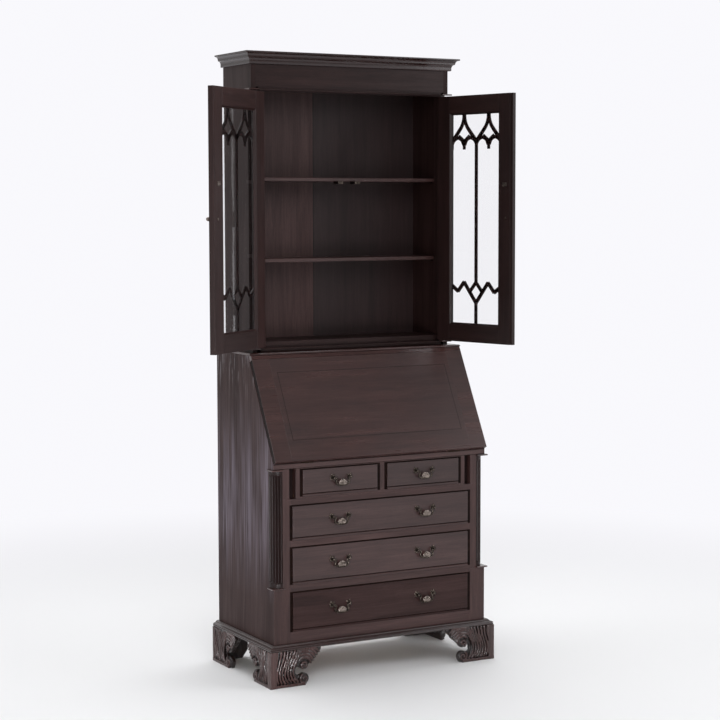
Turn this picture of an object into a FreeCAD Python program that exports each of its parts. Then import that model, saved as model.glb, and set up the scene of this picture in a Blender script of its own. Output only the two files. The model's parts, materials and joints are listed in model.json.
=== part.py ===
import FreeCAD, Part
import math
import os
import re

import Sketcher

# A slant-front writing desk with a glazed bookcase standing on it. Millimetres, +Z up, +X to the
# right as one faces the desk. The origin is on the floor, under the middle of the lower case, so
# the desk's front faces -Y.

doc = FreeCAD.newDocument("SecretaryDesk")
sheet = doc.addObject("Spreadsheet::Sheet", "Sizes")
derived = doc.addObject("App::VarSet", "Derived")
owner = {}

SIZES = [
    # the lower case
    ("case_width", 850, "outside width of the lower case"),
    ("case_depth", 452, "depth of the lower case"),
    ("side_board", 20, "thickness of the lower case's sides"),
    ("back_board", 10, "thickness of both backs"),
    ("frame_board", 20, "thickness of the front frame"),
    ("foot_height", 127, "floor to the underside of the base moulding"),
    ("foot_reach", 201, "length of a foot's bracket under the moulding"),
    ("foot_board", 24, "thickness of a foot's bracket"),
    ("plinth_out", 28, "how far feet and base moulding stand out"),
    ("plinth_high", 19, "height of the base moulding"),
    ("column_low", 341, "foot of the lower quarter columns"),
    ("column_size", 35, "radius of the lower quarter columns"),
    ("plate_high", 5, "thickness of the square column plates"),
    ("plate_out", 9, "how far the plates stand out"),
    ("slant_start", 768, "writing level, where the sides begin to slope"),
    ("slant_angle", 61.86, "slope of the closed lid, degrees from level"),
    ("writing_board", 19, "thickness of the writing board and of the lid"),
    ("slab_level", 1126, "underside of the moulded slab over the desk"),
    ("slab_high", 8, "thickness of that slab"),
    ("slab_out", 3, "overhang of the slab at the sides"),
    # the drawers, as openings in the front frame
    ("wide_half", 358, "half the width of the wide openings"),
    ("row_a_low", 190, "bottom drawer opening"),
    ("row_a_high", 318, ""),
    ("row_b_low", 355, "middle drawer opening"),
    ("row_b_high", 473, ""),
    ("row_c_low", 508, "upper wide drawer opening"),
    ("row_c_high", 618, ""),
    ("row_d_low", 657, "small drawer openings"),
    ("row_d_high", 741, ""),
    ("small_in", 15, "small openings, inner edge from the middle"),
    ("small_out", 318, "small openings, outer edge from the middle"),
    ("slot_in", 340, "lid support slots, inner edge from the middle"),
    ("slot_out", 364, "lid support slots, outer edge from the middle"),
    ("slot_low", 645, "bottom of those slots"),
    ("loper_set_back", 18, "how far the supports stand back in their slots"),
    ("lip", 6, "overlap and thickness of a drawer front's lip"),
    ("drawer_depth", 390, "length of a drawer's sides"),
    ("pull_spread", 171, "handles of the wide drawers, from the middle"),
    ("post_spread", 32, "half the distance between a handle's posts"),
    ("bail_rod", 2, "radius of a bail's rod"),
    # the bookcase
    ("upper_width", 794, "outside width of the bookcase"),
    ("upper_set", 213, "bookcase front behind the lower case's front"),
    ("upper_depth", 227, "depth of the bookcase"),
    ("upper_board", 18, "thickness of the bookcase's sides"),
    ("upper_column", 28, "radius of the upper quarter columns"),
    ("door_low", 1152, "bottom edge of the doors"),
    ("door_high", 2036, "top edge of the doors"),
    ("door_board", 20, "thickness of the doors"),
    ("door_member", 62, "width of door stiles and rails"),
    ("left_open", 143, "how far the left door stands open, degrees"),
    ("right_open", 104, "how far the right door stands open, degrees"),
    ("ledge_level", 2053, "top of the thin ledge over the doors"),
    ("frieze_top", 2131, "top of the frieze"),
    ("total_height", 2174, "floor to the top of the cornice"),
    ("cornice_out", 33, "overhang of the cornice"),
    ("shelf_board", 13, "thickness of the shelves"),
    ("shelf_a", 1458, "top of the lower shelf"),
    ("shelf_b", 1743, "top of the upper shelf"),
]
for line, (alias, number, note) in enumerate(SIZES, start=1):
    sheet.set("A%d" % line, alias)
    sheet.set("B%d" % line, str(number))
    sheet.set("C%d" % line, note)
    sheet.setAlias("B%d" % line, alias)
    owner[alias] = "Sizes."
doc.recompute()


def link(text):
    """Point every named size in an expression at the sheet or at the derived sizes."""
    return re.sub(r"[a-z][a-z_]*", lambda found: owner.get(found.group(0), "") + found.group(0), text)


def derive(name, text):
    """Add a size worked out from the driving ones."""
    derived.addProperty("App::PropertyFloat", name)
    derived.setExpression(name, link(text))
    owner[name] = "Derived."


derive("half", "case_width / 2")
derive("inner", "case_width / 2 - side_board")
derive("front", "-case_depth / 2")
derive("back", "case_depth / 2")
derive("column_high", "slant_start - writing_board - plate_high")
derive("slant_run", "(slab_level - slant_start) / tan(slant_angle * 1 deg)")
derive("lid_long", "door_low - slant_start - 2")
derive("lean_run", "cos(slant_angle * 1 deg)")
derive("lean_rise", "sin(slant_angle * 1 deg)")
derive("upper_half", "upper_width / 2")
derive("upper_inner", "upper_half - upper_board")
derive("upper_front", "front + upper_set")
derive("upper_back", "upper_front + upper_depth")
derive("slab_top", "slab_level + slab_high")
derive("upper_column_low", "slab_top + 15")
derive("upper_column_high", "door_high + 7")
derive("hinge_out", "upper_half - upper_column")
derive("door_face", "2.7")
derive("door_end", "hinge_out - 0.75")
doc.recompute()


# ---- small builders -------------------------------------------------------------------------


def board(name, across, deep, high):
    """A squared board between pairs of limits along X, Y and Z."""
    piece = doc.addObject("Part::Box", name)
    limits = (across, deep, high)
    for axis, side, (low, top) in zip("xyz", ("Length", "Width", "Height"), limits):
        piece.setExpression("Placement.Base." + axis, link(low))
        piece.setExpression(side, link("(%s) - (%s)" % (top, low)))
    return piece


def sided(side, near, far):
    """The limits across X of something that is repeated on both sides of the middle."""
    if side > 0:
        return (near, far)
    return ("-(%s)" % far, "-(%s)" % near)


def place(piece, across, deep, high):
    """Bind a piece's position to expressions."""
    for axis, text in zip("xyz", (across, deep, high)):
        piece.setExpression("Placement.Base." + axis, link(text))
    return piece


TURNS = {
    "x": FreeCAD.Rotation(FreeCAD.Vector(0, 1, 0), 90),
    "y": FreeCAD.Rotation(FreeCAD.Vector(1, 0, 0), -90),
    "z": FreeCAD.Rotation(),
}


def rod(name, direction, start, radius, length):
    """A round bar from a start point, along +X, +Y or +Z."""
    piece = doc.addObject("Part::Cylinder", name)
    piece.Placement = FreeCAD.Placement(FreeCAD.Vector(), TURNS[direction])
    piece.setExpression("Radius", link(radius))
    piece.setExpression("Height", link(length))
    return place(piece, *start)


def ball(name, centre, radius):
    """A ball about a centre."""
    piece = doc.addObject("Part::Sphere", name)
    piece.setExpression("Radius", link(radius))
    return place(piece, *centre)


def fuse(name, *pieces):
    """One solid out of pieces that meet."""
    whole = doc.addObject("Part::MultiFuse", name)
    whole.Shapes = list(pieces)
    whole.Refine = True
    return whole


def cut(name, base, *tools):
    """A piece with others taken out of it."""
    if len(tools) == 1:
        tool = tools[0]
    else:
        tool = doc.addObject("Part::Compound", name + "_tools")
        tool.Links = list(tools)
    whole = doc.addObject("Part::Cut", name)
    whole.Base = base
    whole.Tool = tool
    return whole


nodes = []


def node(name, *pieces):
    """One named sub-part: a single solid, or a group of separate solids."""
    if len(pieces) == 1:
        whole = pieces[0]
    else:
        whole = doc.addObject("Part::Compound", name + "_group")
        whole.Links = list(pieces)
    whole.Label = name
    nodes.append(whole)
    return whole


def outline(body, name, role, points, closed, shift="0"):
    """A sketch of straight lines on one of the body's own planes, each corner bound to the sheet."""
    sketch = body.newObject("Sketcher::SketchObject", name)
    plane = [item for item in body.Origin.OriginFeatures if item.Role == role][0]
    sketch.AttachmentSupport = [(plane, "")]
    sketch.MapMode = "FlatFace"
    sketch.setExpression("AttachmentOffset.Base.z", link(shift))
    count = len(points)
    rough = []
    for step in range(count):
        angle = 2 * math.pi * step / count
        rough.append(FreeCAD.Vector(100 * math.cos(angle), 100 * math.sin(angle), 0))
    lines = count if closed else count - 1
    for step in range(lines):
        sketch.addGeometry(Part.LineSegment(rough[step], rough[(step + 1) % count]), False)
    for step in range(lines):
        if closed or step < lines - 1:
            sketch.addConstraint(Sketcher.Constraint("Coincident", step, 2, (step + 1) % lines, 1))
    for step, (along, up) in enumerate(points):
        line, end = (step, 1) if step < lines else (step - 1, 2)
        for kind, text in (("DistanceX", along), ("DistanceY", up)):
            index = sketch.addConstraint(Sketcher.Constraint(kind, -1, 1, line, end, 1.0))
            sketch.setExpression("Constraints[%d]" % index, link(text))
    return sketch


def profile(name, role, points, length, shift="0"):
    """A body padded from a straight-sided profile, from the shifted plane along its normal."""
    body = doc.addObject("PartDesign::Body", name)
    sketch = outline(body, name + "_profile", role, points, True, shift)
    pad = body.newObject("PartDesign::Pad", name + "_pad")
    pad.Profile = sketch
    pad.setExpression("Length", link(length))
    sketch.Visibility = False
    return body


def run_moulding(name, path, section, level, start):
    """A moulding swept along a path of straight runs at one level, with mitred corners."""
    body = doc.addObject("PartDesign::Body", name)
    spine = outline(body, name + "_path", "XY_Plane", path, False, level)
    shape = outline(body, name + "_section", "XZ_Plane", section, True, start)
    pipe = body.newObject("PartDesign::AdditivePipe", name + "_sweep")
    pipe.Profile = shape
    pipe.Spine = (spine, ["Edge%d" % (step + 1) for step in range(len(path) - 1)])
    pipe.Transition = "Right corner"
    return body


# ---- lower case -----------------------------------------------------------------------------

side_outline = [
    ("front", "foot_height"),
    ("front", "column_low - plate_high"),
    ("front + column_size", "column_low - plate_high"),
    ("front + column_size", "slant_start - writing_board"),
    ("front", "slant_start - writing_board"),
    ("front", "slant_start"),
    ("front + slant_run", "slab_level"),
    ("back", "slab_level"),
    ("back", "foot_height"),
]
left_side = profile("desk_side_l", "YZ_Plane", side_outline, "side_board", "-half")
right_side = profile("desk_side_r", "YZ_Plane", side_outline, "side_board", "inner")
node("desk_sides", left_side, right_side)

full = ("-inner", "inner")
node("desk_back", board("desk_back_b", full, ("back - back_board", "back"), ("foot_height", "slab_level - 18")))
inside_deep = ("front + frame_board", "back - back_board")
node("desk_floor", board("desk_floor_b", full, inside_deep, ("row_a_low - 18", "row_a_low - 0.3")))

slab = board(
    "slab_b",
    ("-half - slab_out", "half + slab_out"),
    ("front + slant_run - 19", "back"),
    ("slab_level", "slab_top"),
)
top_outline = [
    ("front + slant_run", "slab_level"),
    ("front + slant_run - 18 * lean_run / lean_rise", "slab_level - 18"),
    ("back", "slab_level - 18"),
    ("back", "slab_level"),
]
top_board = profile("desk_top_b", "YZ_Plane", top_outline, "2 * inner", "-inner")
# a fixed strip carries the lid's face on up to the slab: the lid ends below it, so that it can
# swing up and forward under open bookcase doors
strip_outline = [
    ("front + slant_run", "slab_level"),
    ("front + (lid_long + 0.5) * lean_run", "slant_start + (lid_long + 0.5) * lean_rise"),
    (
        "front + (lid_long + 0.5) * lean_run - writing_board * lean_rise",
        "slant_start + (lid_long + 0.5) * lean_rise + writing_board * lean_run",
    ),
    ("front + slant_run - writing_board / lean_rise", "slab_level"),
]
top_strip = profile("desk_top_strip", "YZ_Plane", strip_outline, "case_width - 2", "-half + 1")
node("desk_top", top_board, slab, top_strip)

writing = board(
    "writing_b", full, ("front", "back - back_board"), ("slant_start - writing_board", "slant_start")
)
writing_cuts = []
for side in (-1, 1):
    near = sided(side, "270", "320")
    tag = "l" if side < 0 else "r"
    writing_cuts.append(board("leaf_bed_" + tag, near, ("front", "front + 26"), ("slant_start - 1.3", "slant_start")))
    writing_cuts.append(rod("pin_bed_" + tag, "x", (near[0], "front", "slant_start"), "3", "50"))
node("writing_board", cut("writing_cut", writing, *writing_cuts))

# front frame: stiles, rails, muntin and the strips beside the lid support slots
frame_deep = ("front", "front + frame_board")
frame = []
for side in (-1, 1):
    tag = "l" if side < 0 else "r"
    stile = board(
        "stile_" + tag,
        sided(side, "wide_half", "half - column_size"),
        frame_deep,
        ("foot_height", "slant_start - writing_board"),
    )
    notch = board(
        "stile_notch_" + tag,
        sided(side, "wide_half - 1", "slot_out"),
        ("front - 1", "front + frame_board + 1"),
        ("slot_low", "slant_start"),
    )
    frame.append(cut("stile_cut_" + tag, stile, notch))
    frame.append(
        board(
            "corner_block_" + tag,
            sided(side, "half - column_size", "inner"),
            frame_deep,
            ("foot_height", "column_low - plate_high"),
        )
    )
    frame.append(
        board(
            "slot_strip_" + tag,
            sided(side, "small_out", "slot_in"),
            frame_deep,
            ("slot_low", "slant_start - writing_board"),
        )
    )
wide = ("-wide_half", "wide_half")
frame.append(board("rail_base", wide, frame_deep, ("foot_height", "row_a_low")))
frame.append(board("rail_ab", wide, frame_deep, ("row_a_high", "row_b_low")))
frame.append(board("rail_bc", wide, frame_deep, ("row_b_high", "row_c_low")))
frame.append(board("rail_cd", wide, frame_deep, ("row_c_high", "slot_low")))
between = ("-small_out", "small_out")
frame.append(board("rail_small", between, frame_deep, ("slot_low", "row_d_low")))
frame.append(board("rail_top", between, frame_deep, ("row_d_high", "slant_start - writing_board")))
frame.append(board("muntin", ("-small_in", "small_in"), frame_deep, ("row_d_low", "row_d_high")))
node("front_frame", *frame)

# dust boards the drawers and lid supports run on, and guides beside them
runners = []
behind_columns = ("front + column_size", "back - back_board")
for row, low in (("row_b", "row_b_low"), ("row_c", "row_c_low"), ("row_d", "slot_low + 0.3")):
    dust = board("dust_" + row, full, inside_deep, (low + " - 12", low + " - 0.3"))
    corners = []
    for side in (-1, 1):
        tag = "l" if side < 0 else "r"
        near = sided(side, "half - column_size", "inner + 1")
        high = (low + " - 13", low)
        corners.append(board("corner_%s_%s" % (row, tag), near, ("front", "front + column_size"), high))
    runners.append(cut("dust_cut_" + row, dust, *corners))
for side in (-1, 1):
    tag = "l" if side < 0 else "r"
    for row in ("row_a", "row_b", "row_c"):
        high = (row + "_low - 0.3", row + "_low + 24")
        runners.append(board("guide_%s_%s" % (row, tag), sided(side, "wide_half", "inner"), behind_columns, high))
    loper_deep = ("front + frame_board", "front + 380")
    loper_high = ("slot_low", "slant_start - writing_board")
    outer_deep = ("front + column_size", "front + 380")
    runners.append(board("slot_wall_out_" + tag, sided(side, "slot_out", "inner"), outer_deep, loper_high))
    runners.append(board("slot_wall_in_" + tag, sided(side, "small_out + 8", "slot_in"), loper_deep, loper_high))
    runner_high = ("slot_low", "row_d_low - 0.3")
    runners.append(board("runner_out_" + tag, sided(side, "small_out - 24", "small_out + 8"), inside_deep, runner_high))
runners.append(board("runner_mid", ("-small_in - 24", "small_in + 24"), inside_deep, ("slot_low", "row_d_low - 0.3")))
runners.append(board("guide_mid", ("-small_in + 1", "small_in - 1"), inside_deep, ("row_d_low - 0.3", "row_d_low + 24")))
node("drawer_runners", *runners)


def quarter_column(name, side, half, face, radius, low, high, flutes):
    """A fluted quarter column filling the front corner of a case."""
    core = doc.addObject("Part::Cylinder", name + "_core")
    core.Placement = FreeCAD.Placement(
        FreeCAD.Vector(), FreeCAD.Rotation(FreeCAD.Vector(0, 0, 1), 180 if side < 0 else 270)
    )
    core.Angle = 90
    core.setExpression("Radius", link(radius))
    core.setExpression("Height", link("(%s) - (%s)" % (high, low)))
    sign = "-" if side < 0 else ""
    middle = "%s(%s - %s)" % (sign, half, radius)
    place(core, middle, "%s + %s" % (face, radius), low)
    grooves = []
    for step in range(flutes):
        turn = (180 if side < 0 else 270) + 90 * (step + 0.5) / flutes
        start = (
            "%s + %s * cos(%g deg)" % (middle, radius, turn),
            "%s + %s + %s * sin(%g deg)" % (face, radius, radius, turn),
            "%s + 22" % low,
        )
        grooves.append(rod("%s_flute_%d" % (name, step), "z", start, "2.4", "(%s) - (%s) - 44" % (high, low)))
    return cut(name, core, *grooves)


columns = []
plates = []
for side in (-1, 1):
    tag = "l" if side < 0 else "r"
    columns.append(
        quarter_column("column_" + tag, side, "half", "front", "column_size", "column_low", "column_high", 5)
    )
    columns.append(
        quarter_column(
            "upper_column_" + tag, side, "upper_half", "upper_front", "upper_column",
            "upper_column_low", "upper_column_high", 4,
        )
    )
    for level in ("column_low - plate_high", "column_high"):
        plate_high = (level, level + " + plate_high")
        body = board(
            "plate_%s_%s" % (tag, level[:11].strip()),
            sided(side, "half - column_size", "half + plate_out"),
            ("front - plate_out", "front + column_size"),
            plate_high,
        )
        plates.append(body)
    for level in ("upper_column_low - plate_high", "upper_column_high"):
        plate_high = (level, level + " + plate_high")
        body = board(
            "plate_u_%s_%s" % (tag, level[:17].strip()),
            sided(side, "upper_half - upper_column", "upper_half + plate_out + 3"),
            ("upper_front - plate_out - 3", "upper_front + upper_column"),
            plate_high,
        )
        plates.append(body)

# plates overhang the case's sides, so what lies inside the sides' thickness is left to the column's corner
node("corner_columns", *columns)
node("column_plates", *plates)

base_path = [("-half", "back"), ("-half", "front"), ("half", "front"), ("half", "back")]
base_section = [
    ("-half", "foot_height"),
    ("-half - plinth_out", "foot_height"),
    ("-half - plinth_out", "foot_height + 9"),
    ("-half - plinth_out + 4", "foot_height + 9"),
    ("-half - plinth_out + 9", "foot_height + 14"),
    ("-half - plinth_out + 20", "foot_height + 16"),
    ("-half - 4", "foot_height + plinth_high"),
    ("-half", "foot_height + plinth_high"),
]
node("base_moulding", run_moulding("base_moulding_body", base_path, base_section, "foot_height", "-back"))

# feet: each a pair of scroll-cut brackets; fractions of the bracket's reach and of the foot's height
FOOT = [
    (0, 0), (0.72, 0), (0.755, 0.12), (0.73, 0.27), (0.62, 0.33), (0.54, 0.26), (0.5, 0.4),
    (0.54, 0.55), (0.6, 0.51), (0.69, 0.47), (0.79, 0.56), (0.865, 0.66), (0.905, 0.79), (1, 0.91),
    (1, 1), (0, 1),
]


def foot_face(name, role, corner, direction, length, shift):
    """One scroll-cut bracket, padded from its outline."""
    points = []
    for along, up in FOOT:
        points.append(("%s %s %g * foot_reach" % (corner, direction, along), "%g * foot_height" % up))
    return profile(name, role, points, length, shift)


for side, word in ((-1, "left"), (1, "right")):
    corner = "-half - plinth_out" if side < 0 else "half + plinth_out"
    inward = "+" if side < 0 else "-"
    edge = "-half - plinth_out" if side < 0 else "half + plinth_out - foot_board"
    face = foot_face("foot_front_%s_f" % word, "XZ_Plane", corner, inward, "foot_board", "-front + plinth_out - foot_board")
    cheek = foot_face("foot_front_%s_s" % word, "YZ_Plane", "front - plinth_out", "+", "foot_board", edge)
    block = board(
        "foot_front_%s_k" % word,
        sided(side, "half + plinth_out - 2 * foot_board", "half + plinth_out - foot_board"),
        ("front - plinth_out + foot_board", "front - plinth_out + 2 * foot_board"),
        ("12", "foot_height"),
    )
    node("foot_front_" + word, fuse("foot_front_%s_w" % word, face, cheek, block))
    cheek = foot_face("foot_back_%s_s" % word, "YZ_Plane", "back", "-", "foot_board", edge)
    sign = "-" if side < 0 else ""
    # behind, a plain board with its lower inner corner cut off
    brace_points = [
        (sign + "(half + plinth_out - foot_board)", "0"),
        (sign + "(half + plinth_out - 109)", "0"),
        (sign + "(half + plinth_out - 132)", "31"),
        (sign + "(half + plinth_out - 132)", "foot_height"),
        (sign + "(half + plinth_out - foot_board)", "foot_height"),
    ]
    brace = profile("foot_back_%s_k" % word, "XZ_Plane", brace_points, "foot_board", "-back")
    node("foot_back_" + word, fuse("foot_back_%s_w" % word, cheek, brace))

# open pigeonholes standing on the writing board behind the lid
hole_deep = ("back - back_board - 190", "back - back_board")
hole_high = 240
stack = [
    board("hole_base", ("-inner", "inner"), hole_deep, ("slant_start", "slant_start + 8")),
    board("hole_roof", ("-inner", "inner"), hole_deep, ("slant_start + 232", "slant_start + 240")),
    board("hole_end_l", ("-inner", "-inner + 8"), hole_deep, ("slant_start + 8", "slant_start + 232")),
    board("hole_end_r", ("inner - 8", "inner"), hole_deep, ("slant_start + 8", "slant_start + 232")),
]
for step in range(1, 6):
    spot = "-inner + %d * inner / 3" % step
    stack.append(board("hole_wall_%d" % step, (spot + " - 4", spot + " + 4"), hole_deep, ("slant_start + 8", "slant_start + 232")))
node("pigeonhole_unit", *stack)

# ---- bookcase -------------------------------------------------------------------------------

upper_outline = [
    ("upper_front", "slab_top"),
    ("upper_front", "upper_column_low - plate_high"),
    ("upper_front + upper_column", "upper_column_low - plate_high"),
    ("upper_front + upper_column", "upper_column_high + plate_high"),
    ("upper_front", "upper_column_high + plate_high"),
    ("upper_front", "frieze_top"),
    ("upper_back", "frieze_top"),
    ("upper_back", "slab_top"),
]
node(
    "case_sides",
    profile("case_side_l", "YZ_Plane", upper_outline, "upper_board", "-upper_half"),
    profile("case_side_r", "YZ_Plane", upper_outline, "upper_board", "upper_inner"),
)
back_deep = ("upper_back - back_board", "upper_back")
back_high = ("slab_top", "frieze_top")
node(
    "case_back",
    board("case_back_l", ("-upper_inner", "-44.5"), back_deep, back_high),
    board("case_back_r", ("-44", "upper_inner"), back_deep, back_high),
)
upper_full = ("-upper_inner", "upper_inner")
board_deep = ("upper_front + upper_column", "upper_back - back_board")
node(
    "case_boards",
    board("case_floor", upper_full, board_deep, ("door_low - 4", "door_low + 16")),
    board("case_roof", upper_full, ("upper_front + 18", "upper_back - back_board"), ("ledge_level", "ledge_level + 18")),
)
jamb_high = ("slab_top", "ledge_level")
node(
    "case_front",
    board("case_base_rail", ("-hinge_out", "hinge_out"), ("upper_front", "upper_front + 40"), ("slab_top", "door_low - 4")),
    board("case_jamb_l", ("-upper_inner", "-hinge_out"), ("upper_front + upper_column", "upper_front + upper_column + 22"), ("door_low + 16", "ledge_level")),
    board("case_jamb_r", ("hinge_out", "upper_inner"), ("upper_front + upper_column", "upper_front + upper_column + 22"), ("door_low + 16", "ledge_level")),
    fuse(
        "case_ledge",
        board("case_head", ("-hinge_out", "hinge_out"), ("upper_front", "upper_front + 18"), ("door_high + 3", "ledge_level")),
        board("case_nose", ("-hinge_out", "hinge_out"), ("upper_front - 8", "upper_front"), ("door_high + 5", "ledge_level - 3")),
    ),
)
node("frieze", board("frieze_b", ("-upper_inner", "upper_inner"), ("upper_front", "upper_front + 18"), ("ledge_level", "frieze_top")))

cornice_path = [
    ("-upper_half", "upper_back"), ("-upper_half", "upper_front"),
    ("upper_half", "upper_front"), ("upper_half", "upper_back"),
]
cornice_section = [
    ("-upper_half + upper_board", "frieze_top"),
    ("-upper_half - 8", "frieze_top"),
    ("-upper_half - 10", "frieze_top + 8"),
    ("-upper_half - 10", "frieze_top + 14"),
    ("-upper_half - 16", "frieze_top + 16"),
    ("-upper_half - 20", "frieze_top + 22"),
    ("-upper_half - 20", "frieze_top + 27"),
    ("-upper_half - 29", "frieze_top + 30"),
    ("-upper_half - cornice_out", "total_height - 9"),
    ("-upper_half - cornice_out", "total_height"),
    ("-upper_half + upper_board", "total_height"),
]
node("cornice", run_moulding("cornice_body", cornice_path, cornice_section, "frieze_top", "-upper_back"))

shelf_deep = ("upper_front + upper_column + 26", "upper_back - back_board - 0.5")
shelves = []
pins = []
for name in ("shelf_a", "shelf_b"):
    shelves.append(board(name + "_b", ("-upper_inner + 1", "upper_inner - 1"), shelf_deep, (name + " - shelf_board", name)))
    for side in (-1, 1):
        tag = "l" if side < 0 else "r"
        for spot, place_y in (("f", "upper_front + 75"), ("b", "upper_back - 40")):
            start = sided(side, "upper_inner - 9", "upper_inner")[0]
            pins.append(
                rod("pin_%s_%s_%s" % (name, tag, spot), "x", (start, place_y, name + " - shelf_board - 3"), "3", "9")
            )
node("shelves", *shelves)

# catches under the upper shelf meet a strike on each door
for side in (-1, 1):
    tag = "l" if side < 0 else "r"
    pins.append(
        board(
            "catch_" + tag,
            sided(side, "24", "44"),
            ("upper_front + door_board + 4", "upper_front + door_board + 40"),
            ("shelf_b - shelf_board - 9", "shelf_b - shelf_board"),
        )
    )
node("case_fittings", *pins)

# ---- hinges ---------------------------------------------------------------------------------


def upright_hinge(name, side, low, moving):
    """Half of a door hinge about its own pin: the fixed half has the pin and the two end knuckles."""
    near, far = ("1.3", "2.4") if moving else ("0", "1.1")
    leaf = board(name + "_leaf", sided(side, near, far), ("3", "21"), (low, low + " + 60"))
    pieces = [leaf]
    spans = [("20.2", "39.8")] if moving else [("0", "20"), ("40", "60")]
    for index, (start, stop) in enumerate(spans):
        tag = "%s_%d" % (name, index)
        high = ("%s + %s" % (low, start), "%s + %s" % (low, stop))
        knuckle = rod(tag + "_knuckle", "z", ("0", "0", high[0]), "2.6", "%s - %s" % (stop, start))
        if moving:
            bore = rod(tag + "_bore", "z", ("0", "0", high[0] + " - 1"), "1.35", "22")
            knuckle = cut(tag + "_bored", knuckle, bore)
        link_low = "1.4" if moving else "0"
        bridge = board(tag + "_bridge", sided(side, link_low, far), ("0" if not moving else "1", "3"), high)
        pieces.append(knuckle)
        pieces.append(bridge)
    if not moving:
        pieces.append(rod(name + "_pin", "z", ("0", "0", low), "1.25", "60"))
    return fuse(name, *pieces)


HINGE_LEVELS = ("door_low + 70", "(door_low + door_high) / 2 - 30", "door_high - 130")
fixed_hinges = []
for side, word in ((1, "left"), (-1, "right")):
    group = []
    for index, low in enumerate(HINGE_LEVELS):
        group.append(upright_hinge("fixed_%s_%d" % (word, index), side, low, False))
    holder = doc.addObject("Part::Compound", "fixed_hinges_" + word)
    holder.Links = group
    place(holder, "-hinge_out" if side > 0 else "hinge_out", "upper_front - door_face", "0")
    fixed_hinges.append(holder)


def lid_hinge(name, side, moving):
    """Half of a lid hinge about the lid's own pin, lying in the corner of writing board and lid."""
    near = sided(side, "271", "319")
    leaf_deep, leaf_high = (("-1.2", "0"), ("2.9", "25")) if moving else (("2.9", "25"), ("-1.2", "0"))
    pieces = [board(name + "_leaf", near, leaf_deep, leaf_high)]
    spans = [("16.1", "31.9")] if moving else [("0", "16"), ("32", "48")]
    for index, (start, stop) in enumerate(spans):
        tag = "%s_%d" % (name, index)
        left = "%s + %s" % (near[0], start)
        right = "%s + %s" % (near[0], stop)
        knuckle = rod(tag + "_knuckle", "x", (left, "0", "0"), "2.6", "%s - %s" % (stop, start))
        if moving:
            bore = rod(tag + "_bore", "x", (left + " - 1", "0", "0"), "1.3", "18")
            knuckle = cut(tag + "_bored", knuckle, bore)
            bridge = board(tag + "_bridge", (left, right), ("-1.2", "0"), ("1.6", "3"))
        else:
            bridge = board(tag + "_bridge", (left, right), ("1.6", "3"), ("-1.2", "0"))
        pieces.append(knuckle)
        pieces.append(bridge)
    if not moving:
        pieces.append(rod(name + "_pin", "x", (near[0], "0", "0"), "1.2", "48"))
    return fuse(name, *pieces)


holder = doc.addObject("Part::Compound", "fixed_hinges_lid")
holder.Links = [lid_hinge("fixed_lid_l", -1, False), lid_hinge("fixed_lid_r", 1, False)]
place(holder, "0", "front", "slant_start")
fixed_hinges.append(holder)
node("hinges_fixed", *fixed_hinges)

# ---- doors ----------------------------------------------------------------------------------
# Each door is drawn closed about its hinge pin and then turned open about that pin.


def swing(piece, word):
    """Hang a door's piece on its hinge pin at the angle at which the door stands open."""
    turn = "-left_open" if word == "left" else "right_open"
    piece.Placement = FreeCAD.Placement(FreeCAD.Vector(), FreeCAD.Rotation(FreeCAD.Vector(0, 0, 1), 10))
    place(piece, "-hinge_out" if word == "left" else "hinge_out", "upper_front - door_face", "0")
    piece.setExpression("Placement.Rotation.Angle", link(turn + " * 1 deg"))
    return piece


def door_group(name, word, pieces):
    """A door's node made of separate solids, hung on the pin."""
    holder = doc.addObject("Part::Compound", name + "_group")
    holder.Links = list(pieces)
    swing(holder, word)
    return node(name, holder)


def strip(name, start, end, width, deep):
    """A flat bar of the tracery between two points of the door's plane."""
    (x_a, z_a), (x_b, z_b) = start, end
    length = math.hypot(x_b - x_a, z_b - z_a)
    piece = doc.addObject("Part::Box", name)
    piece.Length = length
    piece.Width = deep
    piece.Height = width
    turn = FreeCAD.Rotation(FreeCAD.Vector(0, 1, 0), -math.degrees(math.atan2(z_b - z_a, x_b - x_a)))
    corner = turn.multVec(FreeCAD.Vector(0, 0, -width / 2))
    piece.Placement = FreeCAD.Placement(FreeCAD.Vector(x_a, 0, z_a) + corner, turn)
    return piece


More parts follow.
